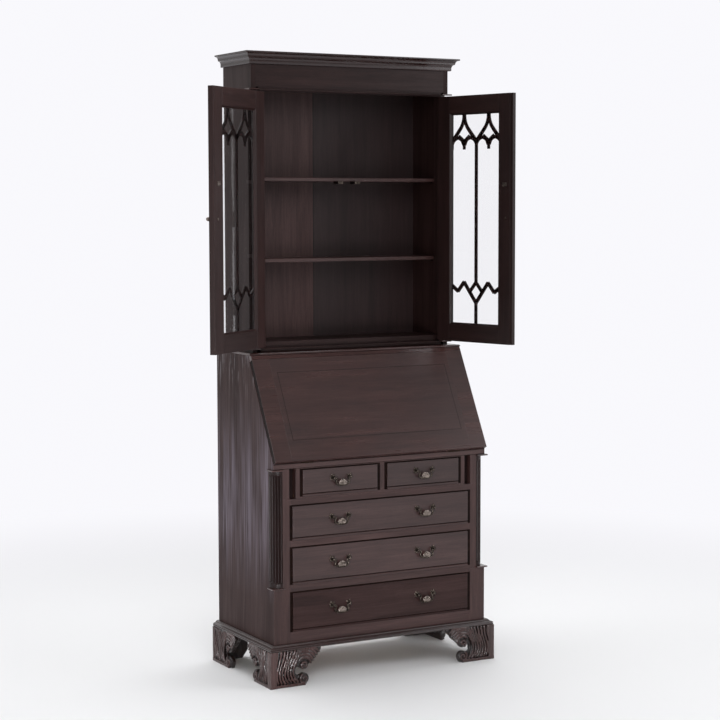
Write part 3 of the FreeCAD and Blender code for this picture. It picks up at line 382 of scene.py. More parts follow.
class Shape:
    def __init__(self, mesh=None):
        self.mesh = mesh or bmesh.new()
        layers = self.mesh.verts.layers
        if mesh is None:
            layers.float_vector.new("grain")
            layers.int.new("made")
        # each point's place along and across its board's grain, and whether that is settled yet
        self.grain = layers.float_vector["grain"]
        self.made = layers.int["made"]

    def _close(self, direction, smooth):
        """Give what was just made its own grain, so every board differs from its neighbours."""
        along = Vector(direction).normalized()
        across = along.cross(Z if abs(along.z) < 0.9 else X).normalized()
        third = along.cross(across)
        offset = Vector((draw.uniform(0, 9), draw.uniform(0, 9), draw.uniform(0, 9)))
        fresh = [vert for vert in self.mesh.verts if not vert[self.made]]
        for vert in fresh:
            point = vert.co * MM
            turned = Vector((point.dot(along), point.dot(across), point.dot(third)))
            vert[self.grain] = turned + offset
            vert[self.made] = 1
            for face in vert.link_faces:
                face.smooth = smooth

    def box(self, low, high, soft, grain):
        """A board with slightly rounded edges."""
        low, high = Vector(low), Vector(high)
        made = bmesh.ops.create_cube(self.mesh, size=1.0)["verts"]
        bmesh.ops.scale(self.mesh, vec=high - low, verts=made)
        bmesh.ops.translate(self.mesh, vec=(low + high) / 2, verts=made)
        edges = list({edge for vert in made for edge in vert.link_edges})
        bmesh.ops.bevel(self.mesh, geom=edges, offset=soft, segments=2, profile=0.5, affect="EDGES")
        self._close(grain, False)

    def slab(self, outline, at, low, high, soft, grain):
        """A plate cut to an outline. at(u, v, w) gives a point of the plate; w runs low to high."""
        rings = []
        for level in (low, high):
            rings.append([self.mesh.verts.new(at(u, v, level)) for u, v in outline])
        first, second = rings
        count = len(outline)
        caps = [self.mesh.faces.new(first[::-1]), self.mesh.faces.new(second)]
        for step in range(count):
            after = (step + 1) % count
            self.mesh.faces.new((first[step], first[after], second[after], second[step]))
        faces = list({face for vert in first + second for face in vert.link_faces})
        bmesh.ops.recalc_face_normals(self.mesh, faces=faces)
        edges = list({edge for cap in caps for edge in cap.edges})
        bmesh.ops.bevel(
            self.mesh, geom=edges, offset=soft, segments=2, profile=0.5, affect="EDGES", clamp_overlap=True,
        )
        self._close(grain, False)

    def loft(self, rings, direction, smooth=True):
        """Skin between rings of points with equal counts, closed at both ends."""
        made = [[self.mesh.verts.new(point) for point in ring] for ring in rings]
        count = len(made[0])
        faces = []
        for lower, upper in zip(made, made[1:]):
            for step in range(count):
                after = (step + 1) % count
                faces.append(self.mesh.faces.new((lower[step], lower[after], upper[after], upper[step])))
        faces.append(self.mesh.faces.new(made[0][::-1]))
        faces.append(self.mesh.faces.new(made[-1]))
        bmesh.ops.recalc_face_normals(self.mesh, faces=faces)
        self._close(direction, smooth)

    def moulding(self, path, section, lift=Z, closed=False):
        """A moulding along straight runs, mitred where they meet.

        section is pairs: how far outward, and how far along lift.
        """
        points = [Vector(point) for point in path]
        count = len(points)
        runs = count if closed else count - 1
        outs = []
        for step in range(runs):
            along = (points[(step + 1) % count] - points[step]).normalized()
            outs.append(along.cross(lift).normalized())

        def mitre(before, after):
            return (before + after) / (1 + before.dot(after))

        for step in range(runs):
            here, there = points[step], points[(step + 1) % count]
            own = outs[step]
            start = mitre(outs[step - 1], own) if closed or step > 0 else own
            stop = mitre(own, outs[(step + 1) % runs]) if closed or step < runs - 1 else own
            rings = []
            for point, lean in ((here, start), (there, stop)):
                rings.append([point + lean * out + lift * up for out, up in section])
            self.loft(rings, there - here)

    def tube(self, points, radii, up, sides=10, flat=1.0):
        """A bar along smooth points, with a radius for each; flat thins it the way that up points."""
        normal = up
        rings = []
        for step, point in enumerate(points):
            before, after = points[max(step - 1, 0)], points[min(step + 1, len(points) - 1)]
            along = (after - before).normalized()
            normal = (normal - along * normal.dot(along)).normalized()
            side = along.cross(normal)
            ring = [normal * cos(angle) * flat + side * sin(angle) for angle in circle(sides)]
            rings.append([point + reach * radii[step] for reach in ring])
        self.loft(rings, points[-1] - points[0])

    def turned(self, base, axis, profile, sides, lobes=0, depth=0.0):
        """A turned shape: profile is (radius, height along axis) pairs; lobes wave its rim."""
        base, axis = Vector(base), Vector(axis).normalized()
        first = axis.cross(Z if abs(axis.z) < 0.9 else X).normalized()
        second = axis.cross(first)
        rings = []
        for radius, height in profile:
            ring = []
            for angle in circle(sides):
                reach = max(radius, 0.02) * (1 + depth * cos(lobes * angle))
                outward = first * cos(angle) + second * sin(angle)
                ring.append(base + axis * height + outward * reach)
            rings.append(ring)
        self.loft(rings, axis)

    def mirrored(self):
        """A copy of this shape on the other side of the middle."""
        other = Shape(self.mesh.copy())
        bmesh.ops.scale(other.mesh, vec=(-1, 1, 1), verts=other.mesh.verts)
        bmesh.ops.reverse_faces(other.mesh, faces=other.mesh.faces)
        return other

    def finish(self, name, material, body, nodes=(), slot="mahogany", place=None, sharp=32):
        """One piece, in metres, riding on a body and standing for CAD nodes."""
        mesh = bpy.data.meshes.new(name)
        rounded = [face.smooth for face in self.mesh.faces]
        bmesh.ops.scale(self.mesh, vec=(MM, MM, MM), verts=self.mesh.verts)
        self.mesh.verts.layers.int.remove(self.made)
        self.mesh.to_mesh(mesh)
        self.mesh.free()
        mesh.set_sharp_from_angle(angle=radians(sharp))
        mesh.polygons.foreach_set("use_smooth", rounded)
        mesh.materials.append(material)
        piece = show(name, mesh)
        if place is not None:
            piece.matrix_world = place
        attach(piece, body)
        if nodes:
            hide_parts(*nodes)
        return piece


def smooth_line(points, steps):
    """A smooth run through points (Catmull-Rom)."""
    points = [Vector(point) for point in points]
    ends = [2 * points[0] - points[1]] + points + [2 * points[-1] - points[-2]]
    line = []
    for index in range(1, len(ends) - 2):
        a, b, c, d = ends[index - 1:index + 3]
        for step in range(steps):
            t = step / steps
            square, cube = 2 * a - 5 * b + 4 * c - d, 3 * b - a - 3 * c + d
            line.append(0.5 * (2 * b + (c - a) * t + square * t * t + cube * t ** 3))
    line.append(points[-1])
    return line


def arc(centre, radius, start, stop, steps):
    """Points of an arc in a section, from one angle to another, in degrees."""
    found = []
    for step in range(steps + 1):
        angle = radians(start + (stop - start) * step / steps)
        found.append((centre[0] + radius * cos(angle), centre[1] + radius * sin(angle)))
    return found


# ---- camera and light ----


def look():
    """The photograph's camera: position in metres, then yaw, pitch and roll in degrees."""
    yaw, pitch, roll = radians(28.894), radians(-4.733), radians(-0.12)
    forward = Vector((sin(yaw) * cos(pitch), cos(yaw) * cos(pitch), sin(pitch)))
    right = Vector((cos(yaw), -sin(yaw), 0.0))
    upward = right.cross(forward)
    level = right * cos(roll) + upward * sin(roll)
    above = upward * cos(roll) - right * sin(roll)
    turn = Matrix((level, above, -forward)).transposed().to_4x4()
    lens = bpy.data.cameras.new("camera")
    lens.sensor_width = 36.0
    lens.lens = 92.18
    lens.clip_end = 200.0
    camera = show("camera", lens)
    camera.matrix_world = Matrix.Translation((-3.1629, -5.7979, 1.6377)) @ turn
    bpy.context.scene.camera = camera


def soft_box(name, place, target, size, watts, spread=180):
    """A large soft light that faces a point."""
    light = bpy.data.lights.new(name, "AREA")
    light.shape = "RECTANGLE"
    light.size, light.size_y = size
    light.energy = watts
    light.color = COOL
    light.spread = radians(spread)
    lamp = show(name, light)
    lamp.location = place
    lamp.visible_camera = False
    lamp.visible_transmission = False
    lamp.rotation_euler = (Vector(target) - Vector(place)).to_track_quat("-Z", "Y").to_euler()


ROOM = (0.947, 0.943, 0.978)
COOL = (0.95, 0.97, 1.0)


def studio():
    """A pale floor that runs out into a white room, brighter behind the desk than in front of it."""
    world = bpy.data.worlds.new("studio")
    bpy.context.scene.world = world
    nodes = Nodes(world)
    way = nodes.add("ShaderNodeTexCoord").outputs["Generated"]
    behind = (0.35, 0.93, 0.0)
    facing = nodes.add("ShaderNodeVectorMath", {0: way, 1: behind}, operation="DOT_PRODUCT")
    toward = nodes.spread(facing.outputs["Value"], 0.4, 0.85, 0.2, 0.95)
    path = nodes.add("ShaderNodeLightPath").outputs
    seen = nodes.math("MAXIMUM", path["Is Camera Ray"], path["Is Transmission Ray"])
    colour = nodes.mix(seen, nodes.grey(toward), ROOM)
    back = nodes.add("ShaderNodeBackground", {"Color": colour, "Strength": 1.0})
    nodes.add("ShaderNodeOutputWorld", {"Surface": back.outputs[0]})

    ground = bmesh.new()
    bmesh.ops.create_circle(ground, cap_ends=True, segments=96, radius=60.0)
    mesh = bpy.data.meshes.new("floor")
    ground.to_mesh(mesh)
    ground.free()
    floor = show("floor", mesh)
    paper = bpy.data.materials.new("floor_paper")
    nodes = Nodes(paper)
    place = nodes.add("ShaderNodeNewGeometry").outputs["Position"]
    away = nodes.add("ShaderNodeVectorMath", {0: place}, operation="LENGTH").outputs["Value"]
    far = nodes.add(
        "ShaderNodeMapRange",
        {"Value": away, "From Min": 0.9, "From Max": 3.6},
        interpolation_type="SMOOTHSTEP",
    ).outputs["Result"]
    near = nodes.add("ShaderNodeBsdfDiffuse", {"Color": (0.79, 0.78, 0.775, 1.0)})
    glow = nodes.add("ShaderNodeEmission", {"Color": (*ROOM, 1.0), "Strength": 1.0})
    both = nodes.add("ShaderNodeMixShader", {0: far, 1: near.outputs[0], 2: glow.outputs[0]})
    nodes.add("ShaderNodeOutputMaterial", {"Surface": both.outputs[0]})
    mesh.materials.append(paper)

    soft_box("key", (-1.2, -3.8, 3.4), (0.0, 0.0, 0.8), (2.4, 2.4), 84)
    soft_box("fill", (3.4, -3.0, 2.4), (0.0, 0.0, 0.6), (2.4, 2.0), 50)
    soft_box("over", (0.3, 0.9, 4.4), (0.1, 0.2, 0.0), (4.6, 3.4), 176)
    soft_box("left", (-4.2, 1.3, 0.9), (0.0, 0.0, 0.1), (1.8, 1.1), 42)
    soft_box("low", (-2.4, -3.2, 0.5), (0.1, 0.1, 0.0), (1.4, 0.5), 9, 55)


look()
studio()
bpy.context.scene.view_settings.view_transform = "Standard"

# ---- carcass: nodes whose shape is right ----

KEPT = (
    (side_wood, "desk_sides"),
    (upright_wood, "desk_back", "case_sides"),
    (oak_level, "desk_floor"),
    (oak_depth, "drawer_runners", *[row + "_box" for row in ROWS]),
    (level_wood, "writing_board", "pigeonhole_unit"),
    (back_wood, "case_back"),
    (inner_wood, "case_boards"),
    (dull_brass, "case_fittings"),
    (black_brass, "hinges_fixed", "lid_hinges"),
    (bright_brass, "door_left_hardware", "door_right_hardware"),
    (pane_glass, "door_left_glass", "door_right_glass"),
    (loper_wood, "loper_left", "loper_right"),
)
for material, *names in KEPT:
    for node in names:
        kept = frame["nodes"][node]
        kept.data.materials.clear()
        kept.data.materials.append(material)

# ---- lower case ----


def front_frame():
    """Rails and stiles, each a board with its own grain."""
    near, far = FRONT, FRONT + FRAME_THICK
    top = WRITING - LID_THICK
    slot_low = 645
    small_low, small_high = ROWS["drawer_small_left"][:2]
    shape = Shape()
    for side in (-1, 1):
        for inner, outer, low, high in (
            (WIDE, HALF - COLUMN, BLOCK_TOP, slot_low),
            (SLOT[1], HALF - COLUMN, slot_low, top),
            (SMALL, SLOT[0], slot_low, top),
        ):
            left, right = beside(side, inner, outer)
            shape.box((left, near, low), (right, far, high), 0.5, Z)
        left, right = beside(side, WIDE, HALF - 0.2)
        shape.box((left, near - 0.6, FOOT), (right, far, BLOCK_TOP), 0.6, Z)
    rails = []
    below = FOOT
    for row in ("drawer_bottom", "drawer_middle", "drawer_upper"):
        rails.append((below, ROWS[row][0], WIDE))
        below = ROWS[row][1]
    rails += [(below, slot_low, WIDE), (slot_low, small_low, SMALL), (small_high, top, SMALL)]
    for low, high, half in rails:
        shape.box((-half, near, low), (half, far, high), 0.5, X)
    shape.box((-MUNTIN, near, small_low), (MUNTIN, far, small_high), 0.5, Z)
    shape.finish("front_frame_boards", board_wood, "case", ["front_frame"])


def fluted_column(shape, side, half, face, radius, low, high, flutes):
    """A quarter column with flutes that end in rounded stops."""
    centre = Vector((side * (half - radius), face + radius, 0))
    steps = 12 * flutes
    plain, stop_long, deepest = 14, 10, 5.6
    levels = [low, low + plain]
    levels += [low + plain + stop_long * part / 5 for part in range(1, 6)]
    levels += [high - plain - stop_long + stop_long * part / 5 for part in range(0, 6)]
    levels.append(high)
    rings = []
    for level in levels:
        near_end = min(level - low, high - level)
        stop = min(1.0, max(0.0, (near_end - plain) / stop_long))
        depth = deepest * sqrt(max(0.0, 1 - (1 - stop) ** 2))
        ring = [centre + Vector((0, 0, level))]
        for step in range(steps + 1):
            share = step / steps
            angle = radians(90 * share)
            wave = abs(sin(pi * flutes * share))
            reach = radius - depth * wave ** 0.7
            ring.append(centre + Vector((side * reach * sin(angle), -reach * cos(angle), level)))
        rings.append(ring)
    shape.loft(rings, Z)


def columns():
    """Four fluted quarter columns and the square plates above and below them."""
    shape = Shape()
    plates = Shape()
    lower_top = WRITING - LID_THICK - 5
    upper_low, upper_top = SLAB_TOP + 15, DOOR_HIGH + 7
    for side in (-1, 1):
        fluted_column(shape, side, HALF, FRONT, COLUMN, BLOCK_TOP + 5, lower_top, 5)
        fluted_column(shape, side, UPPER_HALF, UPPER_FRONT, UPPER_COLUMN, upper_low, upper_top, 4)
        for half, radius, face, out, levels in (
            (HALF, COLUMN, FRONT, 9, (BLOCK_TOP, lower_top)),
            (UPPER_HALF, UPPER_COLUMN, UPPER_FRONT, 12, (upper_low - 5, upper_top)),
        ):
            for level in levels:
                left, right = beside(side, half - radius, half + out)
                plates.box((left, face - out, level), (right, face + radius, level + 5), 1.2, X)
    shape.finish("columns_fluted", column_wood, "case", ["corner_columns"], sharp=50)
    plates.finish("column_plates_square", polished_wood, "case", ["column_plates"])


def base_mould():
    """The moulding on which the lower case sits: a band, a bead, a cove and a fillet."""
    section = [(0, 0), (23.8, 0), (24.8, 0.9), (24.8, 4.2), (23.4, 4.8), (23.0, 5.6)]
    section += arc((22.2, 7.9), 2.2, -85, 85, 6)
    section += [(19.8, 10.4), (19.4, 11.4)]
    section += arc((18.6, 17.6), 6.0, 268, 200, 5)
    section += [(12.2, 15.4), (11.6, 15.9), (11.6, 17.1), (9.2, 17.6), (8.6, 18.4), (8.0, 19), (0, 19)]
    path = [(-HALF, BACK, FOOT), (-HALF, FRONT, FOOT), (HALF, FRONT, FOOT), (HALF, BACK, FOOT)]
    shape = Shape()
    shape.moulding(path, section)
    shape.finish("base_moulding_run", mould_wood, "case", ["base_moulding"])


def foot_edge(level):
    """How far a foot's carved leaf reaches from its corner, at a height above the floor."""
    stops = [
        (0, 120), (14, 114), (28, 101), (42, 94), (54, 93), (68, 97), (84, 105), (104, 116), (127, 128),
    ]
    for (low, near), (high, far) in zip(stops, stops[1:]):
        if level <= high:
            share = (level - low) / (high - low)
            share = share * share * (3 - 2 * share)
            return near + (far - near) * share
    return stops[-1][1]


def carved_bracket(shape, at, long):
    """One scroll-cut bracket with leaf carving. at(u, z, out): u from the corner, out of its face."""
    outline = [
        (0, 0), (142, 0), (150, 14), (148, 28), (138, 39), (124, 40), (110, 34), (100, 44), (99, 56),
        (106, 66), (118, 60), (134, 58), (148, 66), (156, 74), (162, 80), (172, 86), (180, 94), (184, 102),
        (193, 108), (200, 117), (201, 127), (0, 127),
    ]
    shape.slab(outline, at, -24, -12, 1.2, X)
    # plinth band at the floor
    shape.slab([(0, 0), (136, 0), (132, 10), (0, 10)], at, -13, -0.3, 1.2, X)
    # reeds of the leaf, which lean with the bracket's edge
    count = 9 if long else 8
    out = at(0, 0, 1) - at(0, 0, 0)
    for index in range(count):
        share = (index + 0.5) / count
        line = []
        radii = []
        for step in range(17):
            level = 13 + 114 * step / 16
            reach = foot_edge(level)
            radius = 0.36 * (reach - 5) / count
            u = 5 + (reach - 5) * share ** (1 + 0.12 * sin(level / 22))
            line.append(at(u, level, -0.8 - radius + 1.4 * sin(level / 12 + 1.7 * index)))
            radii.append(radius * (0.7 if step in (0, 16) else 1.0))
        shape.tube(line, radii, out)
    # lobes of the wing, which curl round the upper scroll
    eye_u, eye_z = 132, 71
    for radius, start, stop in ((25, 4, 150), (36, 17, 138), (47, 25, 128), (58, 30, 118), (69, 33, 104)):
        line = []
        radii = []
        for step in range(13):
            share = step / 12
            angle = radians(start + (stop - start) * share)
            level = eye_z + radius * sin(angle)
            line.append(at(eye_u + radius * cos(angle), min(level, 126), -6.2 - 1.2 * share))
            radii.append(5.4 * (0.75 + 0.35 * sin(pi * share)))
        shape.tube(line, radii, out)
    # the upright edge at the corner
    shape.slab([(0.6, 4), (7.5, 4), (7.5, 126), (0.6, 126)], at, -14, -0.6, 1.6, Z)
    # scrolls: one at the floor, one under the wing
    for u, z, radius, turns, spin in ((131, 22, 20, 1.5, 1), (eye_u, eye_z, 17, 1.3, -1)):
        disc = [(u + radius * cos(angle), z + radius * sin(angle)) for angle in circle(20)]
        shape.slab(disc, at, -24, -8.5, 1.5, X)
        line = []
        radii = []
        for step in range(30):
            share = step / 29
            angle = spin * (radians(110) + 2 * pi * turns * share)
            reach = (radius - 3) * (1 - 0.9 * share)
            line.append(at(u + reach * cos(angle), z + reach * sin(angle), -4.6 + 1.6 * share))
            radii.append(3.9 - 1.0 * share)
        shape.tube(line, radii, out)


def melt(piece, voxel, passes, faces, depth):
    """Fuse a piece's overlapping parts into one carved skin.

    depth(point) is how deep in the carving a point lies, from 0 to 1.
    """
    remesh = piece.modifiers.new("remesh", "REMESH")
    remesh.mode = "VOXEL"
    remesh.voxel_size = voxel
    remesh.use_smooth_shade = True
    soften = piece.modifiers.new("soften", "SMOOTH")
    soften.factor = 0.5
    soften.iterations = passes
    thin = piece.modifiers.new("thin", "DECIMATE")
    thin.ratio = faces
    graph = bpy.context.evaluated_depsgraph_get()
    melted = bpy.data.meshes.new_from_object(piece.evaluated_get(graph))
    piece.modifiers.clear()
    material = piece.data.materials[0]
    piece.data = melted
    melted.materials.clear()
    melted.materials.append(material)
    grain = melted.attributes.get("grain") or melted.attributes.new("grain", "FLOAT_VECTOR", "POINT")
    flat = []
    for vert in melted.vertices:
        flat += [vert.co.z, vert.co.x, vert.co.y]
    grain.data.foreach_set("vector", flat)
    # how deep each point lies in the carving, which the carved wood darkens as painted shade
    hollow = melted.attributes.new("hollow", "FLOAT", "POINT")
    hollow.data.foreach_set("value", [depth(vert.co / MM) for vert in melted.vertices])
    for polygon in melted.polygons:
        polygon.use_smooth = True


def feet():
    """Two front feet of two carved brackets each, and two back feet of a carved cheek and a plain brace."""
    corner_x, corner_y = -HALF - FOOT_OUT, FRONT - FOOT_OUT

    def on_front(u, z, out):
        return Vector((corner_x + u, corner_y - out, z))

    def on_side(u, z, out):
        return Vector((corner_x - out, corner_y + u, z))

    def on_back(u, z, out):
        return Vector((corner_x - out, BACK - u, z))

    def back_depth(point):
        """How far a point lies behind the bracket's outer face, from 0 at the face to 1 in its grooves."""
        return min(1.0, max(0.0, (-corner_x - abs(point.x) - 1.5) / 5))

    def front_depth(point):
        return min(back_depth(point), max(0.0, (point.y - corner_y - 1.5) / 5))

    front_foot = Shape()
    carved_bracket(front_foot, on_front, True)
    carved_bracket(front_foot, on_side, False)
    front_foot.box((corner_x + 20, corner_y + 20, 6), (corner_x + 48, corner_y + 48, FOOT - 1), 1, Z)
    back_foot = Shape()
    carved_bracket(back_foot, on_back, False)
    brace = [(20, 0), (109, 0), (132, 31), (132, 127), (20, 127)]
    back_foot.slab(brace, lambda u, v, w: Vector((corner_x + u, BACK + w, v)), -24, -0.5, 1.0, X)
    for shape, word in ((front_foot, "front"), (back_foot, "back")):
        other = shape.mirrored()
        for made, side in ((shape, "left"), (other, "right")):
            node = "foot_%s_%s" % (word, side)
            piece = made.finish(node + "_carved", carved_wood, "case", [node])
            melt(piece, 0.0015, 1, 0.5, front_depth if word == "front" else back_depth)


def desk_slab():
    """The board over the desk, its moulded slab and the strip above the lid."""
    shape = Shape()
    depth_run = (SLAB - WRITING) / tan(SLOPE)
    edge = FRONT + depth_run - 19
    thick = SLAB_TOP - SLAB
    section = [(-22, 0), (-2, 0), (-0.6, 0.8)]
    section += arc((-3.0, thick / 2), 3.2, -55, 55, 5)
    section += [(-1.6, thick - 0.6), (-2.6, thick), (-22, thick)]
    out = HALF + 3
    path = [(-out, BACK, SLAB), (-out, edge, SLAB), (out, edge, SLAB), (out, BACK, SLAB)]
    shape.moulding(path, section)
    shape.box((-out + 21, edge + 21, SLAB), (out - 21, BACK, SLAB_TOP), 0.2, X)
    shape.box((-405, FRONT + depth_run, SLAB - 18), (405, BACK, SLAB), 0.4, X)
    start = LID_LONG + 0.5
    rise, run = sin(SLOPE), cos(SLOPE)
    strip = [
        (FRONT + depth_run, SLAB),
        (FRONT + start * run, WRITING + start * rise),
        (FRONT + start * run - LID_THICK * rise, WRITING + start * rise + LID_THICK * run),
        (FRONT + depth_run - LID_THICK / rise, SLAB),
    ]
    shape.slab(strip, lambda u, v, w: Vector((w, u, v)), -HALF + 1, HALF - 1, 0.5, X)
    shape.finish("desk_top_slab", polished_wood, "case", ["desk_top"])


front_frame()
columns()
base_mould()
feet()
desk_slab()

# ---- drawers ----


def drawer_front(row, low, high, left, right):
    """A lipped front: a field framed by a thumbnail edge, with painted shadow from a near-black plate that
    shows round the field, widest at its two ends.
    """
    face = FRONT - LIP
    low, high, left, right = low - LIP, high + LIP, left - LIP, right + LIP
    start, stop = left + 9.5, right - 13
    field = Shape()
    field.box((start, face, low + 10.2), (stop, FRONT - 0.5, high - 4.4), 1.2, X)
    # the bead along the bottom, under the field
    field.moulding(
        [(start, FRONT - 0.5, low), (stop, FRONT - 0.5, low)],
        [(0, 0), (3.4, 0), (4.9, 1.2), (5.3, 3.4), (4.6, 6.2), (2.6, 7.6), (0, 7.6)],
    )
    field.box((left + 7, FRONT, low + 7), (right - 7, FRONT + 15, high - 7), 0.6, X)
    # the bottom drawer takes the darker copy, painted shade
    timber = low_wood if row == "drawer_bottom" else drawer_wood
    field.finish(row + "_field", timber, row, [row + "_front"])
    # painted shadow: the near-black plate behind the field reads as the shaded quirk round it, wider at the
    # right end, and the strip under the field as the shadow above the bead
    lip = Shape()
    lip.box((left, FRONT - 1.0, low), (right, FRONT, high), 0.3, X)
    lip.box((start, FRONT - 3, low + 7.4), (stop, FRONT - 0.8, low + 10.4), 0.2, X)
    lip.finish(row + "_lip", painted_shade_wood, row, [row + "_front"])


def handle_posts(shape, across, level):
    """Two leafy plates with turned posts, whose heads hold the bail's ends."""
    for side in (-1, 1):
        base = Vector((across + side * POST_APART, FRONT - LIP, level))
        plate = [(0, 0), (7.4, 0), (7.8, 0.7), (7.0, 1.4), (5.6, 1.5), (5.2, 2.4), (3.6, 2.6), (3.2, 3.4)]
        shape.turned(base, -Y, plate, 40, 8, 0.06)
        head = [(0, 1), (3.2, 2), (2.6, 5), (2.5, 7), (3.5, 8.6), (4.8, 10.2), (5.1, 12), (4.8, 13.8)]
        head += [(3.2, 15.6), (1.6, 16.6), (0, 16.8)]
        shape.turned(base, -Y, head, 20)
        for angle, long in ((118, 13), (62, 15.5), (12, 13), (-38, 12), (-96, 10)):
            lean = Vector((side * cos(radians(angle)), 0, sin(radians(angle))))
            line = []
            for step in range(7):
                share = step / 6
                curl = lean.cross(Y) * (side * 2.6 * share * share)
                rise = Y * (0.9 + 1.6 * share * (1 - share))
                line.append(base + lean * (4 + (long - 4) * share) + curl - rise)
            shape.tube(line, [1.6, 2.5, 3.1, 3.2, 2.7, 1.8, 0.7], -Y, flat=0.62)


def bail(name, across, level):
    """A swan-neck bail with a cast shell on its grip."""
    half_line = [
        (-31, 0), (-28, 0.2), (-24, -1.4), (-22.2, -5.5), (-24.6, -11), (-25.8, -16.5), (-22, -22),
        (-14.5, -24.8), (-7, -25.8), (0, -26),
    ]
    points = [Vector((across + u, FRONT - BAIL_OUT, level + v)) for u, v in half_line]
    line = smooth_line(points, 5)
    line = line + [Vector((2 * across - p.x, p.y, p.z)) for p in reversed(line[:-1])]
    count = len(line)
    radii = []
    for step in range(count):
        share = 1 - abs(2 * step / (count - 1) - 1)
        radii.append(2.6 + 1.2 * share ** 1.5 + 0.9 * exp(-((share - 0.5) / 0.05) ** 2))
    shape = Shape()
    shape.tube(line, radii, -Y, 12)
    shape.finish(name + "_rod", dull_brass, name, [name], "brass")
    shell = Shape()
    for index in range(7):
        fan = radians(-54 + 18 * index)
        foot_level = level - 25.6 + 2.2 * (1 - cos(fan))
        tip_level = level - 25.4 + 20.4 * cos(fan)
        foot = Vector((across + 12 * sin(fan), FRONT - BAIL_OUT - 1, foot_level))
        tip = Vector((across + 18.5 * sin(fan), FRONT - BAIL_OUT - 1.6, tip_level))
        line = [foot.lerp(tip, step / 6) - Y * (1.6 * sin(pi * step / 6)) for step in range(7)]
        shell.tube(line, [1.9, 2.8, 3.2, 3.2, 3.0, 2.5, 1.3], -Y, flat=0.8)
    shell.finish(name + "_shell", bright_brass, name, [name], "brass")


for row, (low, high, left, right) in ROWS.items():
    drawer_front(row, low, high, left, right)
    level = (low + high) / 2 + PIN_OVER
    spots = {"": (left + right) / 2}
    if right - left > 2 * SMALL:
        spots = {"_left": -WIDE_HANDLE, "_right": WIDE_HANDLE}
    posts = Shape()
    for across in spots.values():
        handle_posts(posts, across, level)
    posts.finish(row + "_posts_turned", dull_brass, row, [row + "_posts"], "brass")
    for word, across in spots.items():
        bail(row + "_bail" + word, across, level)

# ---- lid ----


def lid():
    """The sloping lid: a panel between two end boards, with a string of dark inlay."""
    place = Matrix.Translation(Vector((0, FRONT, WRITING)) * MM)
    place = place @ Matrix.Rotation(SLOPE - pi / 2, 4, "X")
    ends = HALF - 66
    shape = Shape()
    shape.box((-ends, -LID_THICK, 0.4), (ends, -0.2, LID_LONG - 0.1), 0.3, X)
    for side in (-1, 1):
        left, right = beside(side, ends, HALF - 1)
        shape.box((left, -LID_THICK, 0.4), (right, -0.2, LID_LONG - 0.1), 0.3, X)
    shape.finish("lid_boards", lid_wood, "lid", ["lid"], place=place)
    # painted shade: near-black strips over the lid's two end faces, which lie in shadow
    edges = Shape()
    for side in (-1, 1):
        left, right = beside(side, HALF - 1.6, HALF - 0.8)
        edges.box((left, -LID_THICK + 0.8, 1.2), (right, -1.0, LID_LONG - 0.9), 0.2, Z)
    edges.finish("lid_end_shade", painted_shade_wood, "lid", ["lid"], place=place)
    string = Shape()
    low, high, half, wide, face = 75, 331, 340, 2.8, -LID_THICK
    for left, bottom, right, top, grain in (
        (-half, low, half, low + wide, X),
        (-half, high - wide, half, high, X),
        (-half, low, -half + wide, high, Z),
        (half - wide, low, half, high, Z),
    ):
        string.box((left, face - 0.25, bottom), (right, face + 0.5, top), 0.1, grain)
    string.finish("lid_string", string_wood, "lid", ["lid"], place=place)


lid()


def writing_edge():
    """The front edge of the writing board: a pale band between two near-black strips of painted shadow,
    flush with the sides.
    """
    band = Shape()
    half, near, far = HALF - 0.4, FRONT - 0.12, FRONT + 0.5
    low, high = WRITING - LID_THICK, WRITING
    band.box((-half, near, low + 1.8), (half, far, high - 2.0), 0.05, X)
    band.finish("writing_edge_band", edge_wood, "case")
    # painted shadow: near-black strips along the band's top and foot, for the shadow gaps under the lid and
    # over the rail
    dark = Shape()
    for start, stop in ((low + 0.1, low + 1.6), (high - 1.8, high - 0.1)):
        dark.box((-half, near, start), (half, far, stop), 0.05, X)
    dark.finish("writing_edge_shadow_lines", painted_shade_wood, "case")


writing_edge()

# ---- bookcase ----


